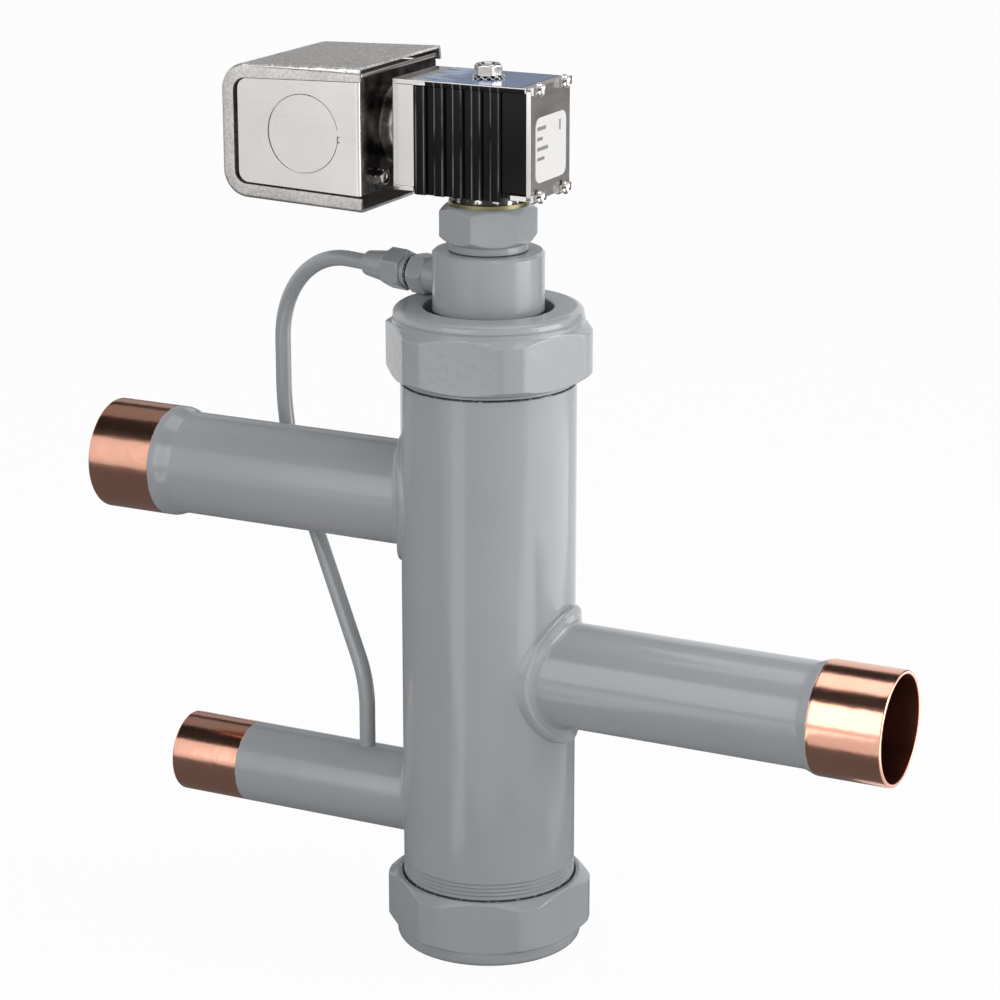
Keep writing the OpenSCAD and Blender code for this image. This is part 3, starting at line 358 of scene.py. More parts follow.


# %% [markdown]
# ## Grey paint and bare copper
# The steel is sprayed with a semi-gloss grey that flows a little before it dries, so its surface has a faint
# slow wave and a fine grain. Where two pieces meet, a dark line is painted in the joint: partly bare metal where
# the spray missed, partly painted shade of the gap. The stubs are copper: the paint stops short of the ends, which
# are polished for brazing. One finish draws both, and the paint's edge is where the distance along X passes a given
# value.

# %% Paint and copper
GREY = (0.318, 0.3353, 0.3514)
GREY_DARK = (0.275, 0.2916, 0.3069)
COPPER = (0.83, 0.47, 0.36)
COPPER_RED = (0.74, 0.36, 0.25)
COPPER_DULL = (0.17, 0.055, 0.038)
DARK_JOINT_AND_SHADE = (0.035, 0.034, 0.033)
UP = (0, 0, 1)
PORT_TURN = np.radians(165)
PORT = np.array([np.cos(PORT_TURN), np.sin(PORT_TURN), 0.0])


def sprayed(finish):
    """Colour, roughness and height of the paint at each point."""
    cloud = finish.noise(22, 2)
    grain = finish.noise(1500, 2)
    flow = finish.noise(120, 2)
    return finish.mix(cloud, GREY_DARK, GREY), 0.13 + 0.08 * cloud, 0.72 * flow + 0.1 * grain


def paint_finish(name, cast=0.0):
    """Semi-gloss grey paint all over, with the dimpled skin of a rough forging under it where cast is above 0."""
    finish = Finish(name, Specular_IOR_Level=0.5)
    colour, rough, height = sprayed(finish)
    finish.colour(colour)
    finish.rough(rough)
    finish.bump(height + cast * finish.noise(330, 2), 0.00006)
    return finish


def seamed_finish(name, seams):
    """Grey paint with a dark, broken line in each joint: partly bare metal the spray didn't reach, partly painted
    shade of the gap.

    A seam is a direction and two distances along it, in metres, between which the joint lies.
    """
    finish = Finish(name, Specular_IOR_Level=0.5)
    colour, rough, height = sprayed(finish)
    ragged = finish.noise(700, 3)
    line_shown = ragged.step(0.3, 0.45)
    gap = 0
    for (x, y, z), low, high in seams:
        along = finish.x * x + finish.y * y + finish.z * z + 0.0004 * ragged
        gap = gap + along.step(low, low + 0.0001) * (1 - along.step(high, high + 0.0001)) * line_shown
    # The dark line is partly paint missing from the joint and partly painted shade in the gap between the parts.
    finish.colour(finish.mix(gap, colour, DARK_JOINT_AND_SHADE))
    finish.rough((1 - gap) * rough + 0.5 * gap)
    finish.bump(height, 0.00006)
    return finish


def stub_finish(name, edge, axis, bore):
    """Paint up to edge along |X|, and polished copper beyond it, dull and red inside the bore.

    The stub lies along X at the height axis. inside is 1 in the bore and bare is 1 on all copper.
    """
    finish = Finish(name, Specular_IOR_Level=0.5)
    ragged = finish.noise(260, 3)
    up = finish.z - axis
    from_axis = finish.y * finish.y + up * up
    mouth = (1 - from_axis.step((bore + 0.00006) ** 2, (bore + 0.0003) ** 2)) * (abs(finish.x) > edge)
    deep = 1 - from_axis.step((bore - 0.001) ** 2, (bore - 0.0008) ** 2)
    inside = (mouth + deep).step(0.0, 1.0)
    bare = ((abs(finish.x) + 0.0012 * ragged).step(edge + 0.0004, edge + 0.0008) + inside).step(0.0, 1.0)
    colour, rough, height = sprayed(finish)
    drawn = finish.noise(420, 4, (0.04, 1, 1))
    stain = finish.noise(60, 3)
    copper = finish.mix(inside, finish.mix(stain, COPPER_RED, COPPER), COPPER_DULL)
    finish.colour(finish.mix(bare, colour, copper))
    finish.rough((1 - bare) * rough + bare * (0.1 + 0.1 * drawn + 0.05 * stain + 0.25 * inside))
    finish.metal(bare)
    wavy = finish.noise(110, 2)
    finish.bump((1 - bare) * (height + 0.8) + bare * (0.12 * drawn + 1.3 * wavy - 0.5), 0.0001)
    return finish


paint = paint_finish("grey_paint")
forged_paint = paint_finish("grey_paint_on_forging", 2.6)
# Dark joint lines: at the nuts, the cap and the fittings they are partly missing paint and partly painted shade of
# the gap. On the pilot body, the band from 240 to 257.6 mm is painted shade inside the gap under the upper nut's
# lip. Between the union's hex and the flare nut it is painted shade of the gap.
body_paint = seamed_finish("grey_paint_on_body", [(UP, 0.0262, 0.0279), (UP, 0.2291, 0.2299)])
pilot_paint_with_gap_shade = seamed_finish("grey_paint_on_pilot", [(UP, 0.24, 0.2576)])
cap_paint = seamed_finish("grey_paint_on_cap", [(UP, 0.2799, 0.2809)])
fitting_paint_with_gap_shade = seamed_finish("grey_paint_on_fitting", [(PORT.tolist(), 0.0368, 0.0388)])
suction_finish = stub_finish("suction_copper", 0.1424, 0.1795, 0.02064)
common_finish = stub_finish("common_copper", 0.1416, 0.115, 0.02064)
hot_gas_finish = stub_finish("hot_gas_copper", 0.1082, 0.0545, 0.01429)

# %% [markdown]
# ## Plated steel, brass, plastics and labels
# The box and the coil frame are steel sheet with bright zinc plating, which shows the rolling direction as a
# faint streak and clouds a little. The frame's bottom under the coil and the box's wall beside the coil carry
# painted shade. The moulding is black, and pale lines are painted on its ribs as highlights. The labels carry only
# plain bars.


# %% The other finishes
def plated_finish(name, grain, colour=(0.7, 0.68, 0.66), rough=0.2, depth=0.000003):
    """Bright zinc on rolled sheet: long streaks along one axis and a cloudy gloss."""
    finish = Finish(name, Metallic=1.0)
    streak = finish.noise(900, 3, grain)
    cloud = finish.noise(45, 4)
    finish.colour(finish.mix(cloud, tuple(0.86 * c for c in colour), colour))
    finish.rough(rough + 0.1 * cloud + 0.08 * streak)
    finish.bump(streak, depth)
    return finish


def cover_finish():
    """The cover's zinc: matt, mottled like frost, and hammered all over its top."""
    finish = Finish("plated_cover", Metallic=1.0)
    frost = finish.noise(1100, 3, rough=0.65)
    cloud = finish.noise(60, 3)
    hammered = finish.noise(700, 3, rough=0.6) * finish.z.step(0.3485, 0.3492)
    tone = (0.35 * cloud + 0.65 * frost).step(0.32, 0.68)
    flat = finish.mix(tone, (0.36, 0.345, 0.335), (0.6, 0.58, 0.565))
    finish.colour(finish.mix(hammered.step(0.2, 0.75), flat, (0.95, 0.93, 0.91)))
    finish.rough(0.3 + 0.2 * frost)
    finish.bump(0.1 * frost + 1.3 * hammered, 0.0003)
    return finish


def yoke_finish():
    """Plated strip whose bottom, under the coil, is painted nearly black as shade, broken by a few spots of plain
    plating that stand for highlights.
    """
    finish = Finish("plated_frame", Metallic=1.0)
    streak = finish.noise(900, 3, (0.05, 1, 1))
    cloud = finish.noise(45, 4)
    spots = finish.noise(260, 3).step(0.52, 0.6)
    under = 1 - finish.z.step(0.3030, 0.3034)
    # Painted shade under the coil, with spots at the plating's colour as painted highlights.
    shade_with_glints = finish.mix(spots, (0.04, 0.038, 0.036), (0.72, 0.7, 0.68))
    finish.colour(finish.mix(under, finish.mix(cloud, (0.6, 0.58, 0.565), (0.7, 0.68, 0.66)), shade_with_glints))
    finish.rough(0.2 + 0.1 * cloud + 0.08 * streak)
    finish.bump(streak + 6 * under * spots, 0.000006)
    return finish


def side_shade_finish():
    """The wall beside the coil: zinc whose colour is darkened to paint the shade there, with soft blotches."""
    finish = Finish("plated_side_wall", Metallic=1.0)
    blotch = finish.noise(110, 4, rough=0.6)
    fine = finish.noise(1400, 2)
    # The darker colour paints the shade that falls beside the coil.
    finish.colour(finish.mix(blotch.step(0.35, 0.75), (0.075, 0.065, 0.062), (0.34, 0.325, 0.315)))
    finish.rough(0.14 + 0.14 * blotch + 0.05 * fine)
    finish.bump(blotch, 0.00008)
    return finish


def metal_finish(name, colour, rough, scale=300):
    """Turned or drawn metal with a cloudy gloss and fine marks."""
    finish = Finish(name, Metallic=1.0)
    cloud = finish.noise(scale, 4)
    finish.colour(finish.mix(cloud, tuple(0.8 * c for c in colour), colour))
    finish.rough(rough + 0.14 * cloud)
    finish.bump(cloud, 0.00002)
    return finish


def plastic_finish(name, colour, rough, scale=1800):
    """Moulded plastic: an even colour, a fine grain and small changes of gloss."""
    finish = Finish(name, Specular_IOR_Level=0.5)
    cloud = finish.noise(60, 3)
    grain = finish.noise(scale, 2)
    finish.colour(finish.mix(cloud, tuple(0.8 * c for c in colour), colour))
    finish.rough(rough + 0.1 * grain)
    finish.bump(grain, 0.00002)
    return finish


def moulding_finish(first_rib=-0.0227, spacing=0.0078):
    """Glossy black moulding with a painted highlight: a pale line near both edges of each rib.

    The place across a rib is the fraction of (x - first rib) / spacing.
    """
    finish = Finish("black_moulding", Specular_IOR_Level=0.1)
    place = (finish.x - first_rib) / spacing
    across = place.maths("FRACT", place)
    highlight_patches = finish.noise(170, 3, (1, 1, 0.3)).step(0.3, 0.62)
    left = 1 - abs(across - 0.11).step(0.02, 0.05)
    right = 1 - abs(across - 0.53).step(0.02, 0.05)
    ribs = (finish.x < 0.0138) * (abs(finish.y) > 0.0166)
    grain = finish.noise(2600, 2)
    # line paints the rib edges' highlights, broken into patches by noise.
    line = (left + right) * ribs * highlight_patches
    finish.colour(finish.mix(line, (0.0035, 0.003, 0.003), (0.15, 0.14, 0.135)))
    finish.rough(0.2 + 0.1 * grain)
    finish.bump(grain, 0.00002)
    return finish


def blue_label_finish():
    """Glossy blue film with pale rubbed streaks towards its left end."""
    finish = Finish("blue_film", Specular_IOR_Level=0.6)
    rub = finish.noise(240, 4, (0.35, 1, 1))
    left = 1 - finish.x.step(-0.016, 0.004)
    worn = (rub * (0.35 + 0.65 * left)).step(0.36, 0.6)
    finish.colour(finish.mix(worn, (0.05, 0.105, 0.23), (0.3, 0.37, 0.5)))
    finish.rough(0.16 + 0.2 * worn)
    finish.bump(rub, 0.00001)
    return finish


def bars(finish, rows):
    """1 inside any of the rectangles (y0, y1, z0, z1) given in metres, 0 outside."""
    total = 0.0
    for y0, y1, z0, z1 in rows:
        inside = (finish.y > y0) * (finish.y < y1) * (finish.z > z0) * (finish.z < z1)
        total = inside + total
    return total


def white_label_finish(low=0.3095):
    """White film, whose lower edge is at low, with plain printed bars in place of any words."""
    finish = Finish("white_film", Specular_IOR_Level=0.5)
    rows = [
        (-0.0115, -0.0040, low + 0.0196, low + 0.0210),
        (-0.0115, -0.0068, low + 0.0158, low + 0.0171),
        (-0.0115, -0.0022, low + 0.0120, low + 0.0134),
        (-0.0115, -0.0052, low + 0.0083, low + 0.0096),
        (0.0072, 0.0086, low + 0.0175, low + 0.0215),
    ]
    ink = bars(finish, rows)
    grain = finish.noise(900, 2)
    finish.colour(finish.mix(ink * 0.75, (0.66, 0.65, 0.64), (0.06, 0.06, 0.06)))
    finish.rough(0.35 + 0.1 * grain)
    finish.bump(grain, 0.000006)
    return finish


sheet = cover_finish()
side_wall_shade = side_shade_finish()
panel_sheet = plated_finish("plated_panel", (0.03, 1, 1), (0.66, 0.635, 0.615), 0.2, 0.0000005)
sheet_side = plated_finish("plated_side", (1, 1, 0.03), rough=0.08)
frame_steel = yoke_finish()
end_steel = plated_finish("plated_end", (1, 0.05, 1), (0.6, 0.57, 0.55), 0.22, 0.00001)
bolt_steel = metal_finish("plated_bolt", (0.52, 0.5, 0.48), 0.08)
steel = metal_finish("turned_steel", (0.55, 0.55, 0.54), 0.25)
wire_steel = metal_finish("spring_wire", (0.4, 0.41, 0.42), 0.3)
brass = metal_finish("yellow_brass", (0.66, 0.56, 0.33), 0.2)
dull_brass = metal_finish("dull_brass", (0.2, 0.18, 0.1), 0.3)
winding = metal_finish("winding_copper", (0.6, 0.25, 0.12), 0.35, 1200)
fibre = plastic_finish("gasket_fibre", (0.05, 0.052, 0.055), 0.7, 900)
white_seal = plastic_finish("seal_polymer", (0.75, 0.73, 0.66), 0.4)
dark_ring = plastic_finish("ring_polymer", (0.05, 0.045, 0.04), 0.45)
bobbin = plastic_finish("bobbin_polymer", (0.7, 0.67, 0.57), 0.4)
black = moulding_finish()
blue_film = blue_label_finish()
white_film = white_label_finish()

# %% [markdown]
# ## CAD nodes that stay
# The body tube, the pilot body, the brass washer and the inner pieces other than the springs already have their
# true shape. They keep it and only get their finish.

# %% Dress the CAD nodes
DRESS = {
    body_paint: ["body_tube"],
    paint: ["bottom_plug"],
    pilot_paint_with_gap_shade: ["pilot_body"],
    steel: ["valve_stem", "disc_spacer", "piston_spacer", "stem_nuts", "pilot_plunger", "fixed_core",
            "enclosing_tube", "box_bush", "bush_nut"],
    brass: ["lower_seat", "upper_seat", "lower_disc", "upper_disc", "piston", "pilot_seat"],
    dull_brass: ["brass_washer"],
    fibre: ["bottom_gasket", "bonnet_gasket", "tube_gasket"],
    white_seal: ["lower_disc_seal", "upper_disc_seal"],
    dark_ring: ["piston_ring"],
    bobbin: ["coil_bobbin"],
    winding: ["coil_winding"],
    blue_film: ["top_label"],
    white_film: ["end_label"],
}
for finish, names in DRESS.items():
    for name in names:
        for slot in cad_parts[name].material_slots:
            slot.material = finish.material
print("CAD nodes dressed:", sum(len(names) for names in DRESS.values()))

# %% [markdown]
# ## Union nuts
# A big hexagon nut is a turned blank with six flats milled on it. The turned blank leaves the corners round and
# the chamfers leave arcs on the flats. The surface is spun from the blank's profile and then cut by the flats.

# %% Union nuts
BODY_R = 34.0
SHELL_H = 258.8
NUT_H = 27.3
NUT_ACROSS = 74


def union_nut(turn, groove):
    """A union nut with its open end at height 0 and its lip at the top. The collar may have a turned groove."""
    profile = rounded(
        [(34.05, 1.1), (34.95, 0), (36.4, 0), (40.4, 2.4), (40.4, 19.3), (36.9, 21.4), (36.9, 22.9),
         (36.85 - groove, 23.4), (36.75, 24.0), (36.5, 27.3), (25, 27.1), (25, 19.8), (34.05, 19.8)],
        [0.2, 0.2, 0.5, 0.4, 0.4, 0.5, 0.2, 0.2, 0.2, 2.9, 0.7, 0.3, 0],
        closed=True,
    )
    return hexagonal(turned(spaced(profile, 0.5, True), 240, turn), NUT_ACROSS, turn, 0.35)


upper = union_nut(np.radians(10), 0.6) + [0, 0, SHELL_H - NUT_H]
lower = union_nut(np.radians(20), 0.0) * [1, 1, -1] + [0, 0, NUT_H]
piece("upper_nut_skin", [(upper, True, True)], forged_paint, ["upper_union_nut"])
piece("lower_nut_skin", [(lower, True, True)], forged_paint, ["lower_union_nut"])

# %% [markdown]
# ## Stubs and their saddles
# Each large stub is a copper tube whose end is belled to a socket, and the bell grows along half a cosine wave.
# The small one is straight. Where a stub enters the body, a pressed boss follows the body's roundness and braze
# fills the corner. Its surface is a profile of distance from the stub's axis and height above the body, carried
# round the stub.

# %% Stubs
AXES = {"suction": 179.5, "common": 115.0, "hot_gas": 54.5}


def belled(reach, bell):
    """The closed profile (r, distance) of a large stub from inside the body to its end.

    Along the shoulder r is tube + rise (1 - cos(pi w)) / 2, for w from 0 to 1.
    """
    tube, rise, outer, socket, bore = 20.6, 1.7, 22.3, 20.64, 19.2
    root, slant, stop = 26, 7, 27
    wave = np.linspace(0, 1, 25)[:, None]
    shoulder = np.hstack([tube + rise * (1 - np.cos(np.pi * wave)) / 2, reach - bell - slant + slant * wave])
    mouth = rounded(
        [shoulder[-1], (outer, reach), (socket, reach), (socket, reach - stop), (bore, reach - stop - 2),
         (bore, root), (tube, root)],
        [0, 0.7, 0.5, 0.3, 0.3, 0, 0],
    )
    return np.concatenate([shoulder, mouth[1:]])


def straight(reach):
    """The closed profile of the small stub."""
    tube, socket, bore, root, stop = 16.3, 14.29, 13, 27, 23
    corners = [(tube, root), (tube, reach), (socket, reach), (socket, reach - stop), (bore, reach - stop),
               (bore, root)]
    return rounded(corners, [0, 0.7, 0.5, 0.2, 0.2, 0], closed=True)


def stub(name, profile, side, finish):
    """Spins a stub's profile and lays it along X on its side of the body."""
    grid = placed(turned(spaced(profile, 3.0, True), 144), (0, 0, AXES[name]), (side, 0, 0))
    piece(name + "_tube", [(grid, True, True)], finish, [name + "_stub"])


stub("suction", belled(170.5, 30.5), -1, suction_finish)
stub("common", belled(171, 28), 1, common_finish)
stub("hot_gas", straight(138.5), -1, hot_gas_finish)


# %% Saddles
def saddle(name, corners, radii, side, z, oval=0.0):
    """A ring round a stub: x = sqrt((R + h)^2 - y^2), with the profile (p, h) carried round the stub.

    Across the body the ring is narrower: y = (p - oval (p - p_end) / (p_start - p_end)) cos t, z = p sin t.
    """
    line = rounded(corners, radii)
    p, h = spaced(line, 0.4).T
    inner = p.min()
    t = np.linspace(0, 2 * np.pi, 240, endpoint=False)[:, None]
    y = (p - oval * (p - inner) / (p.max() - inner)) * np.cos(t)
    x = side * np.sqrt((BODY_R + h) ** 2 - y**2)
    piece(name, [(np.stack([x, y, z + p * np.sin(t)], -1), True, False)], paint)


saddle(
    "common_saddle",
    [(28.3, -0.1), (27.45, 0.05), (27.45, 2.0), (26.0, 2.1), (25.6, 1.55), (25.0, 2.35), (22.0, 2.7), (20.6, 3.2),
     (20.55, 8.5)],
    [0, 0.4, 0.55, 0.4, 0.3, 0.6, 2.0, 1.5, 0], 1, AXES["common"], 3.5,
)
saddle(
    "suction_saddle",
    [(27.8, -0.1), (26.95, 0.05), (26.95, 1.6), (25.4, 1.7), (25.0, 1.3), (24.5, 1.85), (20.6, 2.2), (20.55, 6.5)],
    [0, 0.4, 0.5, 0.4, 0.3, 0.5, 2.2, 0], -1, AXES["suction"], 3.4,
)
saddle("hot_gas_saddle", [(18.6, -0.1), (16.3, 0.02), (16.25, 3.0)], [0, 2.0, 0], -1, AXES["hot_gas"])

# %% [markdown]
# ## Thread run-out
# A narrow ring shows round the body just under the upper nut, where the thread runs out. It is turned like the
# nuts, but from an open line.

# %% Thread run-out
runout = rounded([(33.2, 229.75), (34.0, 229.85), (34.0, 230.85), (33.2, 230.95)], [0, 0.3, 0.3, 0])
piece("upper_runout", [(turned(runout, 200), True, False)], paint)

# %% [markdown]
# ## Pilot fittings
# The nut that holds the solenoid, the union and the flare nut are hexagons too, so they come from the same two
# functions. The union and the flare nut lie along the pilot port, which points 15 degrees behind the suction stub.

# %% Tube nut, union and flare nut
PORT_Z = 266.1


def hex_piece(name, corners, radii, across, turn, node, soft=0.4, along=None, finish=paint):
    """A turned closed profile with flats, upright on the valve's axis or laid along the pilot port."""
    profile = spaced(rounded(corners, radii, closed=True), 0.4, True)
    grid = hexagonal(turned(profile, 180, turn), across, turn, soft)
    if along is not None:
        grid = placed(grid, (0, 0, PORT_Z), along)
    piece(name, [(grid, True, True)], finish, [node])


hex_piece(
    "tube_nut_skin",
    [(7.1, 276), (11.9, 276), (11.9, 280.35), (15.2, 280.35), (15.2, 283.6), (16.0, 283.6), (19.05, 286.0),
     (19.05, 295.7), (15.6, 298.1), (7.1, 298.1)],
    [0, 0, 0, 0.5, 0.3, 0.3, 0.5, 0.5, 0.4, 0], 33, np.radians(36), "tube_nut", 0.5, finish=cap_paint,
)
hex_piece(
    "pilot_union_skin",
    [(2.4, 21.2), (5.4, 21.2), (5.4, 28.65), (6.9, 28.65), (8.31, 29.7), (8.31, 35.9), (7.1, 37.0), (5.2, 37.0),
     (5.2, 45.5), (2.4, 45.5)],
    [0, 0, 0, 0.2, 0.3, 0.3, 0.2, 0.2, 0.2, 0], 14.4, np.radians(30), "pilot_union", 0.3, PORT, fitting_paint_with_gap_shade,
)
hex_piece(
    "flare_nut_skin",
    [(5.25, 37.8), (6.9, 37.8), (6.9, 38.9), (6.5, 39.1), (6.5, 41.1), (7.2, 41.1), (8.31, 42.2), (8.31, 49.8),
     (7.0, 50.9), (6.4, 51.6), (5.0, 62.6), (3.3, 63.6), (3.25, 50), (5.25, 47)],
    [0.2, 0.3, 0.2, 0.2, 0.2, 0.1, 0.3, 0.3, 0.4, 1.0, 0.7, 0, 0, 0], 14.4, 0.0, "flare_nut", 0.3, PORT,
    fitting_paint_with_gap_shade,
)

# %% [markdown]
# ## Pilot tube
# A quarter-inch tube leaves the flare nut, drops behind the suction stub and enters the top of the hot gas stub.
# It is straight between three bends, so its centre line is a line with round corners.

# %% Pilot tube
LINE_R, DROP, FOOT_X = 3.2, 111.8, -55.0
corners = [PORT * 46.0 + [0, 0, PORT_Z], PORT * DROP + [0, 0, PORT_Z], PORT * DROP + [0, 0, 187.0],
           np.array([FOOT_X, 0, 98.0]), np.array([FOOT_X, 0, 68.6])]
centre_line = spaced(rounded(corners, [0, 38, 75, 35, 0], arc=3.0), 1.5)
piece("pilot_line", [(swept(centre_line, LINE_R), True, False)], paint, ["pilot_tube"])

# %% [markdown]
# ## Springs
# Two springs work inside, one under the spool and one over the plunger. Each is a wire wound round the valve's
# axis with a closed turn at both ends.


# %% Springs
def wound(radius, wire, low, high, turns):
    """A wire of radius w wound at radius R: ((R + w cos a) cos t, (R + w cos a) sin t, h(t) + w sin a).

    h rises by one wire over the first and the last turn, and evenly over the turns between them.
    """
    t = np.linspace(0, turns + 2, 36 * (turns + 2) + 1)
    h = np.interp(t, [0, 1, turns + 1, turns + 2], [low + wire, low + 3 * wire, high - 3 * wire, high - wire])
    t, h = 2 * np.pi * t[:, None], h[:, None]
    a = np.linspace(0, 2 * np.pi, 14, endpoint=False)[None]
    rings = np.stack([(radius + wire * np.cos(a)) * np.cos(t), (radius + wire * np.cos(a)) * np.sin(t),
                      h + wire * np.sin(a)], -1)
    ends = [np.broadcast_to(ring.mean(axis=0), ring.shape)[None] for ring in (rings[0], rings[-1])]
    return np.concatenate([ends[0], rings, ends[1]])


grid = wound(13.0, 1.2, 19.0, 72.95, 8)
spool_spring = piece("spool_spring", [(grid, False, True)], wire_steel, ["main_spring"])
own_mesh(spool_spring)
grid = wound(2.6, 0.35, 316.45, 330.95, 7)
needle_spring = piece("needle_spring", [(grid, False, True)], wire_steel, ["plunger_spring"])
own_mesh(needle_spring)

# %% [markdown]
# ## Coil
# The winding is moulded into a black block with five flat ribs on its front and back. Its edges are soft, as a
# mould leaves them, so it is built from rounded blocks. The steel frame round it is folded sheet: a copy of the
# CAD node with a small bevel shows the bright line of each cut edge. A thin dark strip in the moulding's finish
# lies along the frame's front edge, and a short tail of sheet bends down to the collar.

# %% Coil moulding and frame
RIBS = [-22.7 + 7.8 * k for k in range(5)]
blocks = [rounded_block((-22.7, -15.8, 305.5), (23.9, 15.8, 343.7), 0.5)]
for side in (-1, 1):
    y0, y1 = sorted((side * 15.8, side * 14.1))
    blocks.append(rounded_block((-22.7, y0, 302.3), (13.5, y1, 306.5), 0.5))
    y0, y1 = sorted((side * 17.0, side * 14.8))
    blocks += [rounded_block((x, y0, 302.3), (x + 5.0, y1, 343.6), 0.6) for x in RIBS]
piece("coil_case", [(block, True, False) for block in blocks], black, ["coil_moulding"])
softened("yoke_frame", frame_steel, 0.35)
softened("end_plate", end_steel, 0.4)
softened("neck_shroud", sheet_side, 0.25)
# A thin black strip along the top plate's front edge, where that edge looks dark.
strip = rounded_block((-17.8, -17.3, 343.5), (23.4, -16.9, 345.25), 0.15)
piece("plate_edge", [(strip, True, False)], black)
tail = np.array([[-23.0, 343.8, 345.55], [-20.5, 344.3, 345.55], [-17.9, 345.1, 345.5]])
low_line, high_line = (np.column_stack([tail[:, 0], 0 * tail[:, 0], tail[:, k]]) for k in (1, 2))
outside, inside = [0, -17.35, 0], [0, -16.95, 0]
loop = [low_line + outside, high_line + outside, high_line + inside, low_line + inside]
tail_grid = np.stack(loop, axis=1)
tail_ends = [tail_grid[k].reshape(2, 2, 3)[[0, 1]] for k in (0, -1)]
tail_ends = [np.stack([end[0], end[1][::-1]]) for end in tail_ends]
piece("lip_tail", [(tail_grid, False, True)] + [(end, False, False) for end in tail_ends], sheet_side)

# %% [markdown]
# ## Screw and washers
# The coil is held by one hexagon screw whose head has a shallow round recess, over a washer with twisted teeth.
# A smaller flanged screw on the box's side wall takes the earth wire. Both heads come from the nut functions.

# %% Screws and the toothed washer
TOP = 345.6
head = rounded(
    [(0, 350.6), (2.6, 350.6), (3.1, 351.1), (4.4, 351.1), (5.5, 350.2), (5.5, 346.9), (3.4, 346.5), (2.3, 346.5),
     (2.3, 336), (0, 336)],
    [0, 0.3, 0.3, 0.5, 0.4, 0.3, 0.2, 0, 0.3, 0],
)
grid = hexagonal(turned(spaced(head, 0.4), 180, np.radians(12)), 9.5, np.radians(12), 0.3)
piece("coil_bolt", [(grid, True, False)], bolt_steel, ["coil_screw"])


def toothed(inner, outer, low, thick, teeth):
    """A washer whose rim rises and falls with w = tanh(2.2 cos n t) / 0.976, a cosine with flattened crests.

    The height rises by twist w share and the radius shrinks by 0.45 (1 - w) share^2. The share is 0 at the inner
    edge and 1 at the rim.
    """
    twist = 0.42
    t = np.linspace(0, 2 * np.pi, 24 * teeth, endpoint=False)[:, None]
    share = np.array([0.0, 0.25, 0.6, 1.0])
    wave = np.tanh(2.2 * np.cos(teeth * t)) / 0.976
    r = inner + (outer - inner) * share - 0.45 * (1 - wave) * share**2
    lift = twist * wave * share
    top = np.stack([r * np.cos(t), r * np.sin(t), low + thick + twist + lift], -1)
    bottom = np.stack([r * np.cos(t), r * np.sin(t), low + twist + lift], -1)
    return np.concatenate([top, bottom[:, ::-1]], axis=1)


washer = toothed(2.7, 6.2, TOP - 0.1, 0.55, 12)
piece("toothed_washer", [(washer, True, True)], bolt_steel, ["star_washer"])
small = rounded(
    [(0, 2.9), (1.2, 2.9), (1.5, 3.5), (2.6, 3.7), (3.3, 3.1), (3.3, 0.9), (3.9, 0.8), (3.9, 0.0), (1.9, -0.1),
     (1.9, -7), (0, -7)],
    [0, 0.2, 0.3, 0.4, 0.3, 0.2, 0.3, 0.2, 0, 0, 0],
)
grid = hexagonal(turned(spaced(small, 0.4), 144, np.radians(20)), 6.0, np.radians(20), 0.25)
grid = placed(grid, (-37.95, -17.5, 308.15), (1, 0, 0))
piece("earth_screw", [(grid, True, False)], bolt_steel, ["ground_screw"])

# %% [markdown]
# ## Junction box
# The box is two folded sheets. The cover wraps round the top, the round end and the bottom, and turns inwards
# by a narrow rim on both sides. The base is a U with a knockout in each panel and a drawn boss beside the coil.
# The cover is the rim's cross-section carried along the outline. Each wall of the base is a set of rings that
# spread from the round feature to the rectangle's edge.

# %% Box cover
BOX_L, BOX_R, BOX_T, BOX_B, HALF = -96.95, -36.95, 351.15, 296.65, 32.5


def carried(outline, section, back):
    """Carries a strip of sheet along an outline in X and Z.

    The section holds pairs (inset, y): the point is outline - inset * normal, at depth y. back is the same
    section on the sheet's other side, and two short strips close the ends.
    """
    t = np.gradient(outline, axis=0)
    t /= np.linalg.norm(t, axis=1)[:, None]
    normal = np.stack([t[:, 1], -t[:, 0]], -1)
    normal *= np.sign(np.sum(normal[0] * [0, 1]))
    loop = np.concatenate([section, back[::-1]])
    flat = outline[:, None] - loop[None, :, :1] * normal[:, None]
    grid = np.stack([flat[..., 0], np.broadcast_to(loop[:, 1], flat.shape[:2]), flat[..., 1]], -1)
    half = len(section)
    caps = [np.stack([row[:half], row[half:][::-1]]) for row in (grid[0], grid[-1])]
    return [(grid, False, True)] + [(cap, False, False) for cap in caps]


slope = 2.0 / 60
outline = rounded(
    [(BOX_R, BOX_T), (BOX_L, BOX_T - 60 * slope), (BOX_L, BOX_B + 60 * slope), (BOX_R, BOX_B)],
    [0, 10.5, 10.5, 0], arc=4.0,
)
section = rounded([(5.3, -HALF), (0, -HALF), (0, HALF), (5.3, HALF)], [0, 1.3, 1.3, 0], arc=15)
back = rounded([(5.3, 1 - HALF), (1, 1 - HALF), (1, HALF - 1), (5.3, HALF - 1)], [0, 0.4, 0.4, 0], arc=15)
cover = carried(spaced(outline, 4.0), section, back)
piece("box_wrap", cover, sheet, ["box_cover"])


# %% Box base
def ringed(centre, outline, rings):
    """Points (a, b) of a wall, their distance p from the centre and their angle.

    Along each ray from the centre to a point of the outline, p takes the rings' values and then runs to the edge.
    """
    away = outline - centre
    edge = np.linalg.norm(away, axis=1)[:, None]
    inner = np.broadcast_to(rings, (len(away), len(rings)))
    outer = rings[-1] + (edge - rings[-1]) * np.linspace(0, 1, 7)[1:]
    p = np.concatenate([inner, outer], axis=1)
    a, b = (centre[k] + p * away[:, k : k + 1] / edge for k in (0, 1))
    return a, b, p, np.arctan2(away[:, 1], away[:, 0])[:, None]


def walled(front, shift):
    """A wall from its front surface and the vector to its back: the front, then the back in reverse order."""
    return np.concatenate([front, front[:, ::-1] + shift], axis=1)


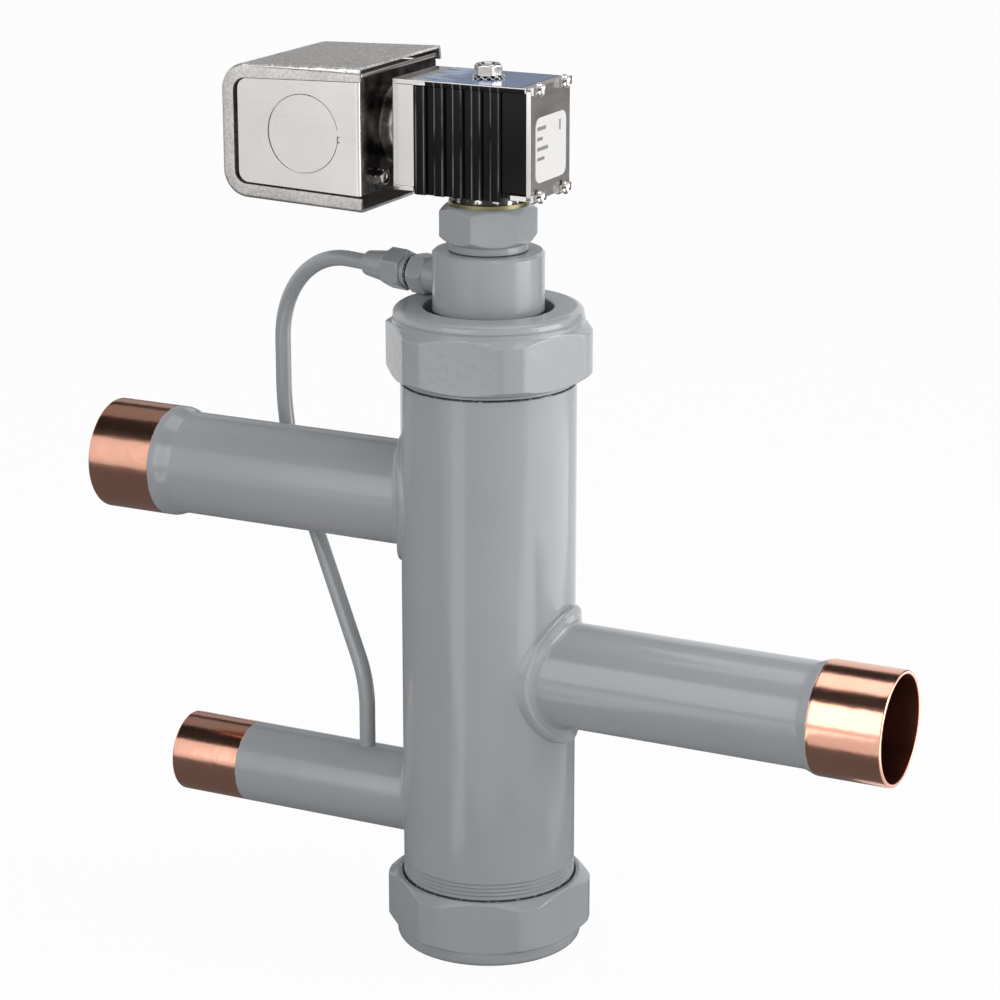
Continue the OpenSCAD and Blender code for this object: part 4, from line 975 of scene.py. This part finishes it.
KNOCK = np.array([-62.25, 324.5])
KNOCK_RINGS = [0.01, 5, 10, 14.55, 14.74, 14.8, 14.95, 15.1, 15.16, 15.35, 15.7, 16]
GROOVE_R, NOTCH_R, SHEET = 14.95, 15.2, 0.9
SIDE_X, PANEL_Y, BEND = -37.95, 31.4, 1.4
LEFT, RIGHT = BOX_L + 6.6, SIDE_X - BEND
RIM = 5.3
panel_shape = np.array([
    (RIGHT, BOX_T - RIM - 0.5), (LEFT, BOX_T - RIM - 0.5 - 50 * slope),
    (LEFT, BOX_B + RIM + 0.7 + 50 * slope), (RIGHT, BOX_B + RIM + 0.7),
])
panel_line = spaced(rounded(panel_shape, [0, 4.2, 4.2, 0], closed=True), 0.7, True)
walls = []
for side in (-1, 1):
    a, b, p, t = ringed(KNOCK, panel_line, KNOCK_RINGS)
    tie = np.abs((t - np.radians(5) + np.pi) % (2 * np.pi) - np.pi) < np.radians(4)
    groove = (np.abs(p - GROOVE_R) < 0.17) & ~tie
    notch = (np.abs(p - NOTCH_R) < 0.51) & (np.abs(t + np.radians(5)) < np.radians(3))
    depth = 0.3 * (p < 14.9) + 0.7 * (groove | notch)
    front = np.stack([a, side * (PANEL_Y - depth), b], -1)
    walls.append((walled(front, np.array([0, -side * SHEET, 0])), True, False))
    q = np.linspace(0, np.pi / 2, 9)
    bend = [
        np.stack([RIGHT + r * np.sin(q), side * (PANEL_Y - BEND + r * np.cos(q))], -1) for r in (BEND, BEND - SHEET)
    ]
    loop = np.concatenate([bend[0], bend[1][::-1]])
    column = np.stack([np.column_stack([loop, np.full(len(loop), z)]) for z in panel_shape[[3, 0], 1]])
    ends = [np.stack([row[: len(q)], row[len(q) :][::-1]]) for row in column]
    walls += [(column, False, True)] + [(end, False, False) for end in ends]
piece("box_panels", walls, panel_sheet, ["box_base"])
BOSS_RINGS = [0.01, 6, 12, 13.6, 14.2, 14.7, 15.05, 15.3, 15.45, 15.5, 15.52, 15.7, 16.2]
BOSS_LIFT = [6.4, 6.4, 6.4, 6.38, 6.25, 5.95, 5.5, 4.9, 4.2, 3.2, 1.2, 0.4, 0.0]
across, low, high = PANEL_Y - BEND, panel_shape[3, 1], 348.2
side_line = spaced(np.array([(-across, low), (across, low), (across, high), (-across, high)]), 0.7, True)
a, b, p, t = ringed(np.array([0.0, 326.5]), side_line, BOSS_RINGS)
lift = np.interp(p, BOSS_RINGS, BOSS_LIFT)
front = np.stack([SIDE_X + lift, a, b], -1)
piece("box_side", [(walled(front, np.array([-SHEET, 0, 0])), True, False)], side_wall_shade, ["box_base"])
flange = rounded_block((SIDE_X - SHEET, -across, 347.0), (SIDE_X + 0.5, across, 348.5), 0.4)
piece("box_flange", [(flange, True, False)], panel_sheet)

# %% [markdown]
# ## Small marks of the press shop
# The tabs of the coil frame are spread with a star-shaped punch so that they hold the end plate. Each stake is a
# low dome whose radius swings with the angle.


# %% Stakes
def stake(y, z):
    """A domed star: radius 2.4 + 0.55 cos 4t at the foot, falling to a dimple in the middle."""
    t = np.linspace(0, 2 * np.pi, 48, endpoint=False)[:, None]
    share = np.array([1.0, 1.0, 0.94, 0.8, 0.55, 0.3, 0.0])
    height = np.array([-0.6, 0.3, 0.75, 0.95, 0.6, 0.35, 0.25])
    r = share * (2.4 + 0.55 * np.cos(4 * t) * share)
    return np.stack([26.8 + height + 0 * t, y + r * np.cos(t + 0.4), z + r * np.sin(t + 0.4)], -1)


spots = [(y, z) for y in (-10.8, 10.8) for z in (304.6, 344.7)]
piece("plate_stakes", [(stake(y, z), True, False) for y, z in spots], bolt_steel)

# %% [markdown]
# ## Stage
# The photograph is a product shot: the object stands on a white floor with white behind it. The floor glows a
# little for the camera and for reflections, so it looks white and still takes the object's shadow. The world
# does the same, and gives the object itself only a plain soft light.


# %% Floor and world
def sheet_of(name, corners):
    """A flat object with any number of corners, used for the floor and the cards."""
    mesh = bpy.data.meshes.new(name)
    mesh.from_pydata(corners, [], [tuple(range(len(corners)))])
    obj = bpy.data.objects.new(name, mesh)
    bpy.context.scene.collection.objects.link(obj)
    return obj


def seen_as_white(tree):
    """Two numbers: 1 for camera rays, and 1 for the rays that metal and glass send out."""
    rays = tree.node("ShaderNodeLightPath").socket.node
    camera, glossy, through = (
        Wire(tree, rays.outputs[k]) for k in ("Is Camera Ray", "Is Glossy Ray", "Is Transmission Ray")
    )
    return camera, glossy + through


FLOOR_Z = -0.0004
floor = sheet_of("floor", [(x, y, FLOOR_Z) for x, y in ((-6, -6), (6, -6), (6, 6), (-6, 6))])
pale = Finish("pale_floor", Roughness=0.9, Specular_IOR_Level=0.0)
pale.colour((0.6, 0.6, 0.6))
camera, mirrored = seen_as_white(pale)
glow = pale.node("ShaderNodeEmission", {}, {"Color": (1, 1, 1, 1), "Strength": 1.0})
surface = Wire(pale, pale.shader.outputs[0])
blend = pale.node("ShaderNodeMixShader", {}, {0: camera * 0.96 + mirrored * 0.9, 1: surface, 2: glow})
end = next(n for n in pale.tree.nodes if n.type == "OUTPUT_MATERIAL")
pale.feed(end.inputs["Surface"], blend)
floor.data.materials.append(pale.material)

world = bpy.data.worlds.new("studio")
bpy.context.scene.world = world
world.use_nodes = True
sky = Tree(world.node_tree)
camera, mirrored = seen_as_white(sky)
soft = sky.node("ShaderNodeBackground", {}, {"Color": (1, 1, 1, 1), "Strength": 0.6})
white = sky.node("ShaderNodeBackground", {}, {"Color": (1, 1, 1, 1), "Strength": 1.0})
seen = sky.node("ShaderNodeMixShader", {}, {0: camera + mirrored, 1: soft, 2: white})
sky.node("ShaderNodeOutputWorld", {}, {"Surface": seen}, None)

# %% [markdown]
# ## Lamps and cards
# One broad panel stands at the front left, a smaller one at the right and a third hangs above. Bright metal shows
# whatever is round it, so a photographer puts up dark and bright cards: they give the copper its bands and darken
# the box's side, whose colour also carries painted shade. The cards here are seen by reflections only and take no
# light away.


# %% Lamps and cards
def panel(name, place, target, size, watts):
    """A soft rectangular lamp at place that faces target."""
    light = bpy.data.lights.new(name, "AREA")
    light.shape, light.size, light.size_y, light.energy = "RECTANGLE", *size, watts
    lamp = bpy.data.objects.new(name, light)
    lamp.location = place
    lamp.rotation_euler = (Vector(target) - Vector(place)).to_track_quat("-Z", "Y").to_euler()
    lamp.visible_camera = False
    bpy.context.scene.collection.objects.link(lamp)
    print(f"{name}: {watts} W")


def card(name, corners, grey):
    """A matt card of an even brightness, grey, that only reflections can see."""
    obj = sheet_of(name, corners)
    matt = Finish(name, Roughness=1.0, Specular_IOR_Level=0.0)
    matt.colour((0, 0, 0))
    matt.feed(matt.shader.inputs["Emission Color"], (grey, grey, grey, 1))
    matt.feed(matt.shader.inputs["Emission Strength"], 1.0)
    obj.data.materials.append(matt.material)
    obj.visible_camera = obj.visible_diffuse = obj.visible_shadow = False


def on_floor(*corners):
    """Corners (x, y) laid just above the floor."""
    return [(x, y, 0.0) for x, y in corners]


panel("key_left", (-0.30, -1.52, 0.80), (0, 0, 0.2), (1.2, 1.3), 9.5)
panel("broad_right", (1.02, 0.22, 0.43), (0, 0, 0.3), (0.7, 0.8), 8.4)
panel("soft_top", (0.0, 0.15, 1.4), (0, 0, 0.2), (1.2, 0.8), 5.5)
card(
    "foot_card",
    on_floor((0.12, 0.35), (0.12, 0.04), (0.18, 0.04), (0.18, -0.15), (0.09, -0.16), (-0.45, -0.6), (-0.63, -0.88),
             (-1.6, -0.88), (-1.6, 0.5)),
    0.15,
)
card("far_card", on_floor((0.3, 1.0), (1.9, 1.0), (1.9, 2.4), (0.3, 2.4)), 0.05)
card("back_right", [(0.4, 2.4, 0), (2.4, 2.4, 0), (2.4, 2.4, 0.9), (0.4, 2.4, 0.9)], 0.05)
card("bright_right", on_floor((0.3, -0.2), (0.95, -0.2), (0.95, 0.7), (0.3, 0.7)), 2.7)
card("bright_front", on_floor((-0.056, -0.139), (-0.41, -1.02), (-0.077, -1.097), (-0.01, -0.15)), 2.2)
card("back_low", [(-3, 2.4, 0), (-1.05, 2.4, 0), (-1.05, 2.4, 0.55), (-3, 2.4, 0.55)], 0.15)
card("back_high", [(-3, 2.4, 0.55), (-1.05, 2.4, 0.55), (-1.05, 2.4, 1.7), (-3, 2.4, 1.7)], 0.42)
card("left_ceiling", [(-2.0, 0.1, 1.39), (-0.62, 0.1, 1.39), (-0.62, 1.2, 1.39), (-2.0, 1.2, 1.39)], 0.3)
card("ceiling_card", [(-2.5, -1.5, 1.7), (2.5, -1.5, 1.7), (2.5, 2.4, 1.7), (-2.5, 2.4, 1.7)], 0.02)

# %% [markdown]
# ## Camera
# A long lens from 1.3 m away keeps the upright edges nearly parallel. The place, the direction and the lens were
# found by fitting the picture's edges, and the plain view transform keeps the floor white.

# %% Camera
camera = bpy.data.objects.new("camera", bpy.data.cameras.new("camera"))
camera.data.sensor_width, camera.data.lens = 36.0, 115.4
camera.data.clip_start, camera.data.clip_end = 0.05, 30
camera.location = (0.53644, -1.06545, 0.53336)
camera.rotation_euler = Vector((-0.428158, 0.85819, -0.283179)).to_track_quat("-Z", "Y").to_euler()
bpy.context.scene.collection.objects.link(camera)
bpy.context.scene.camera = camera
bpy.context.scene.view_settings.view_transform = "Standard"
print("Camera:", camera.data.lens, "mm")
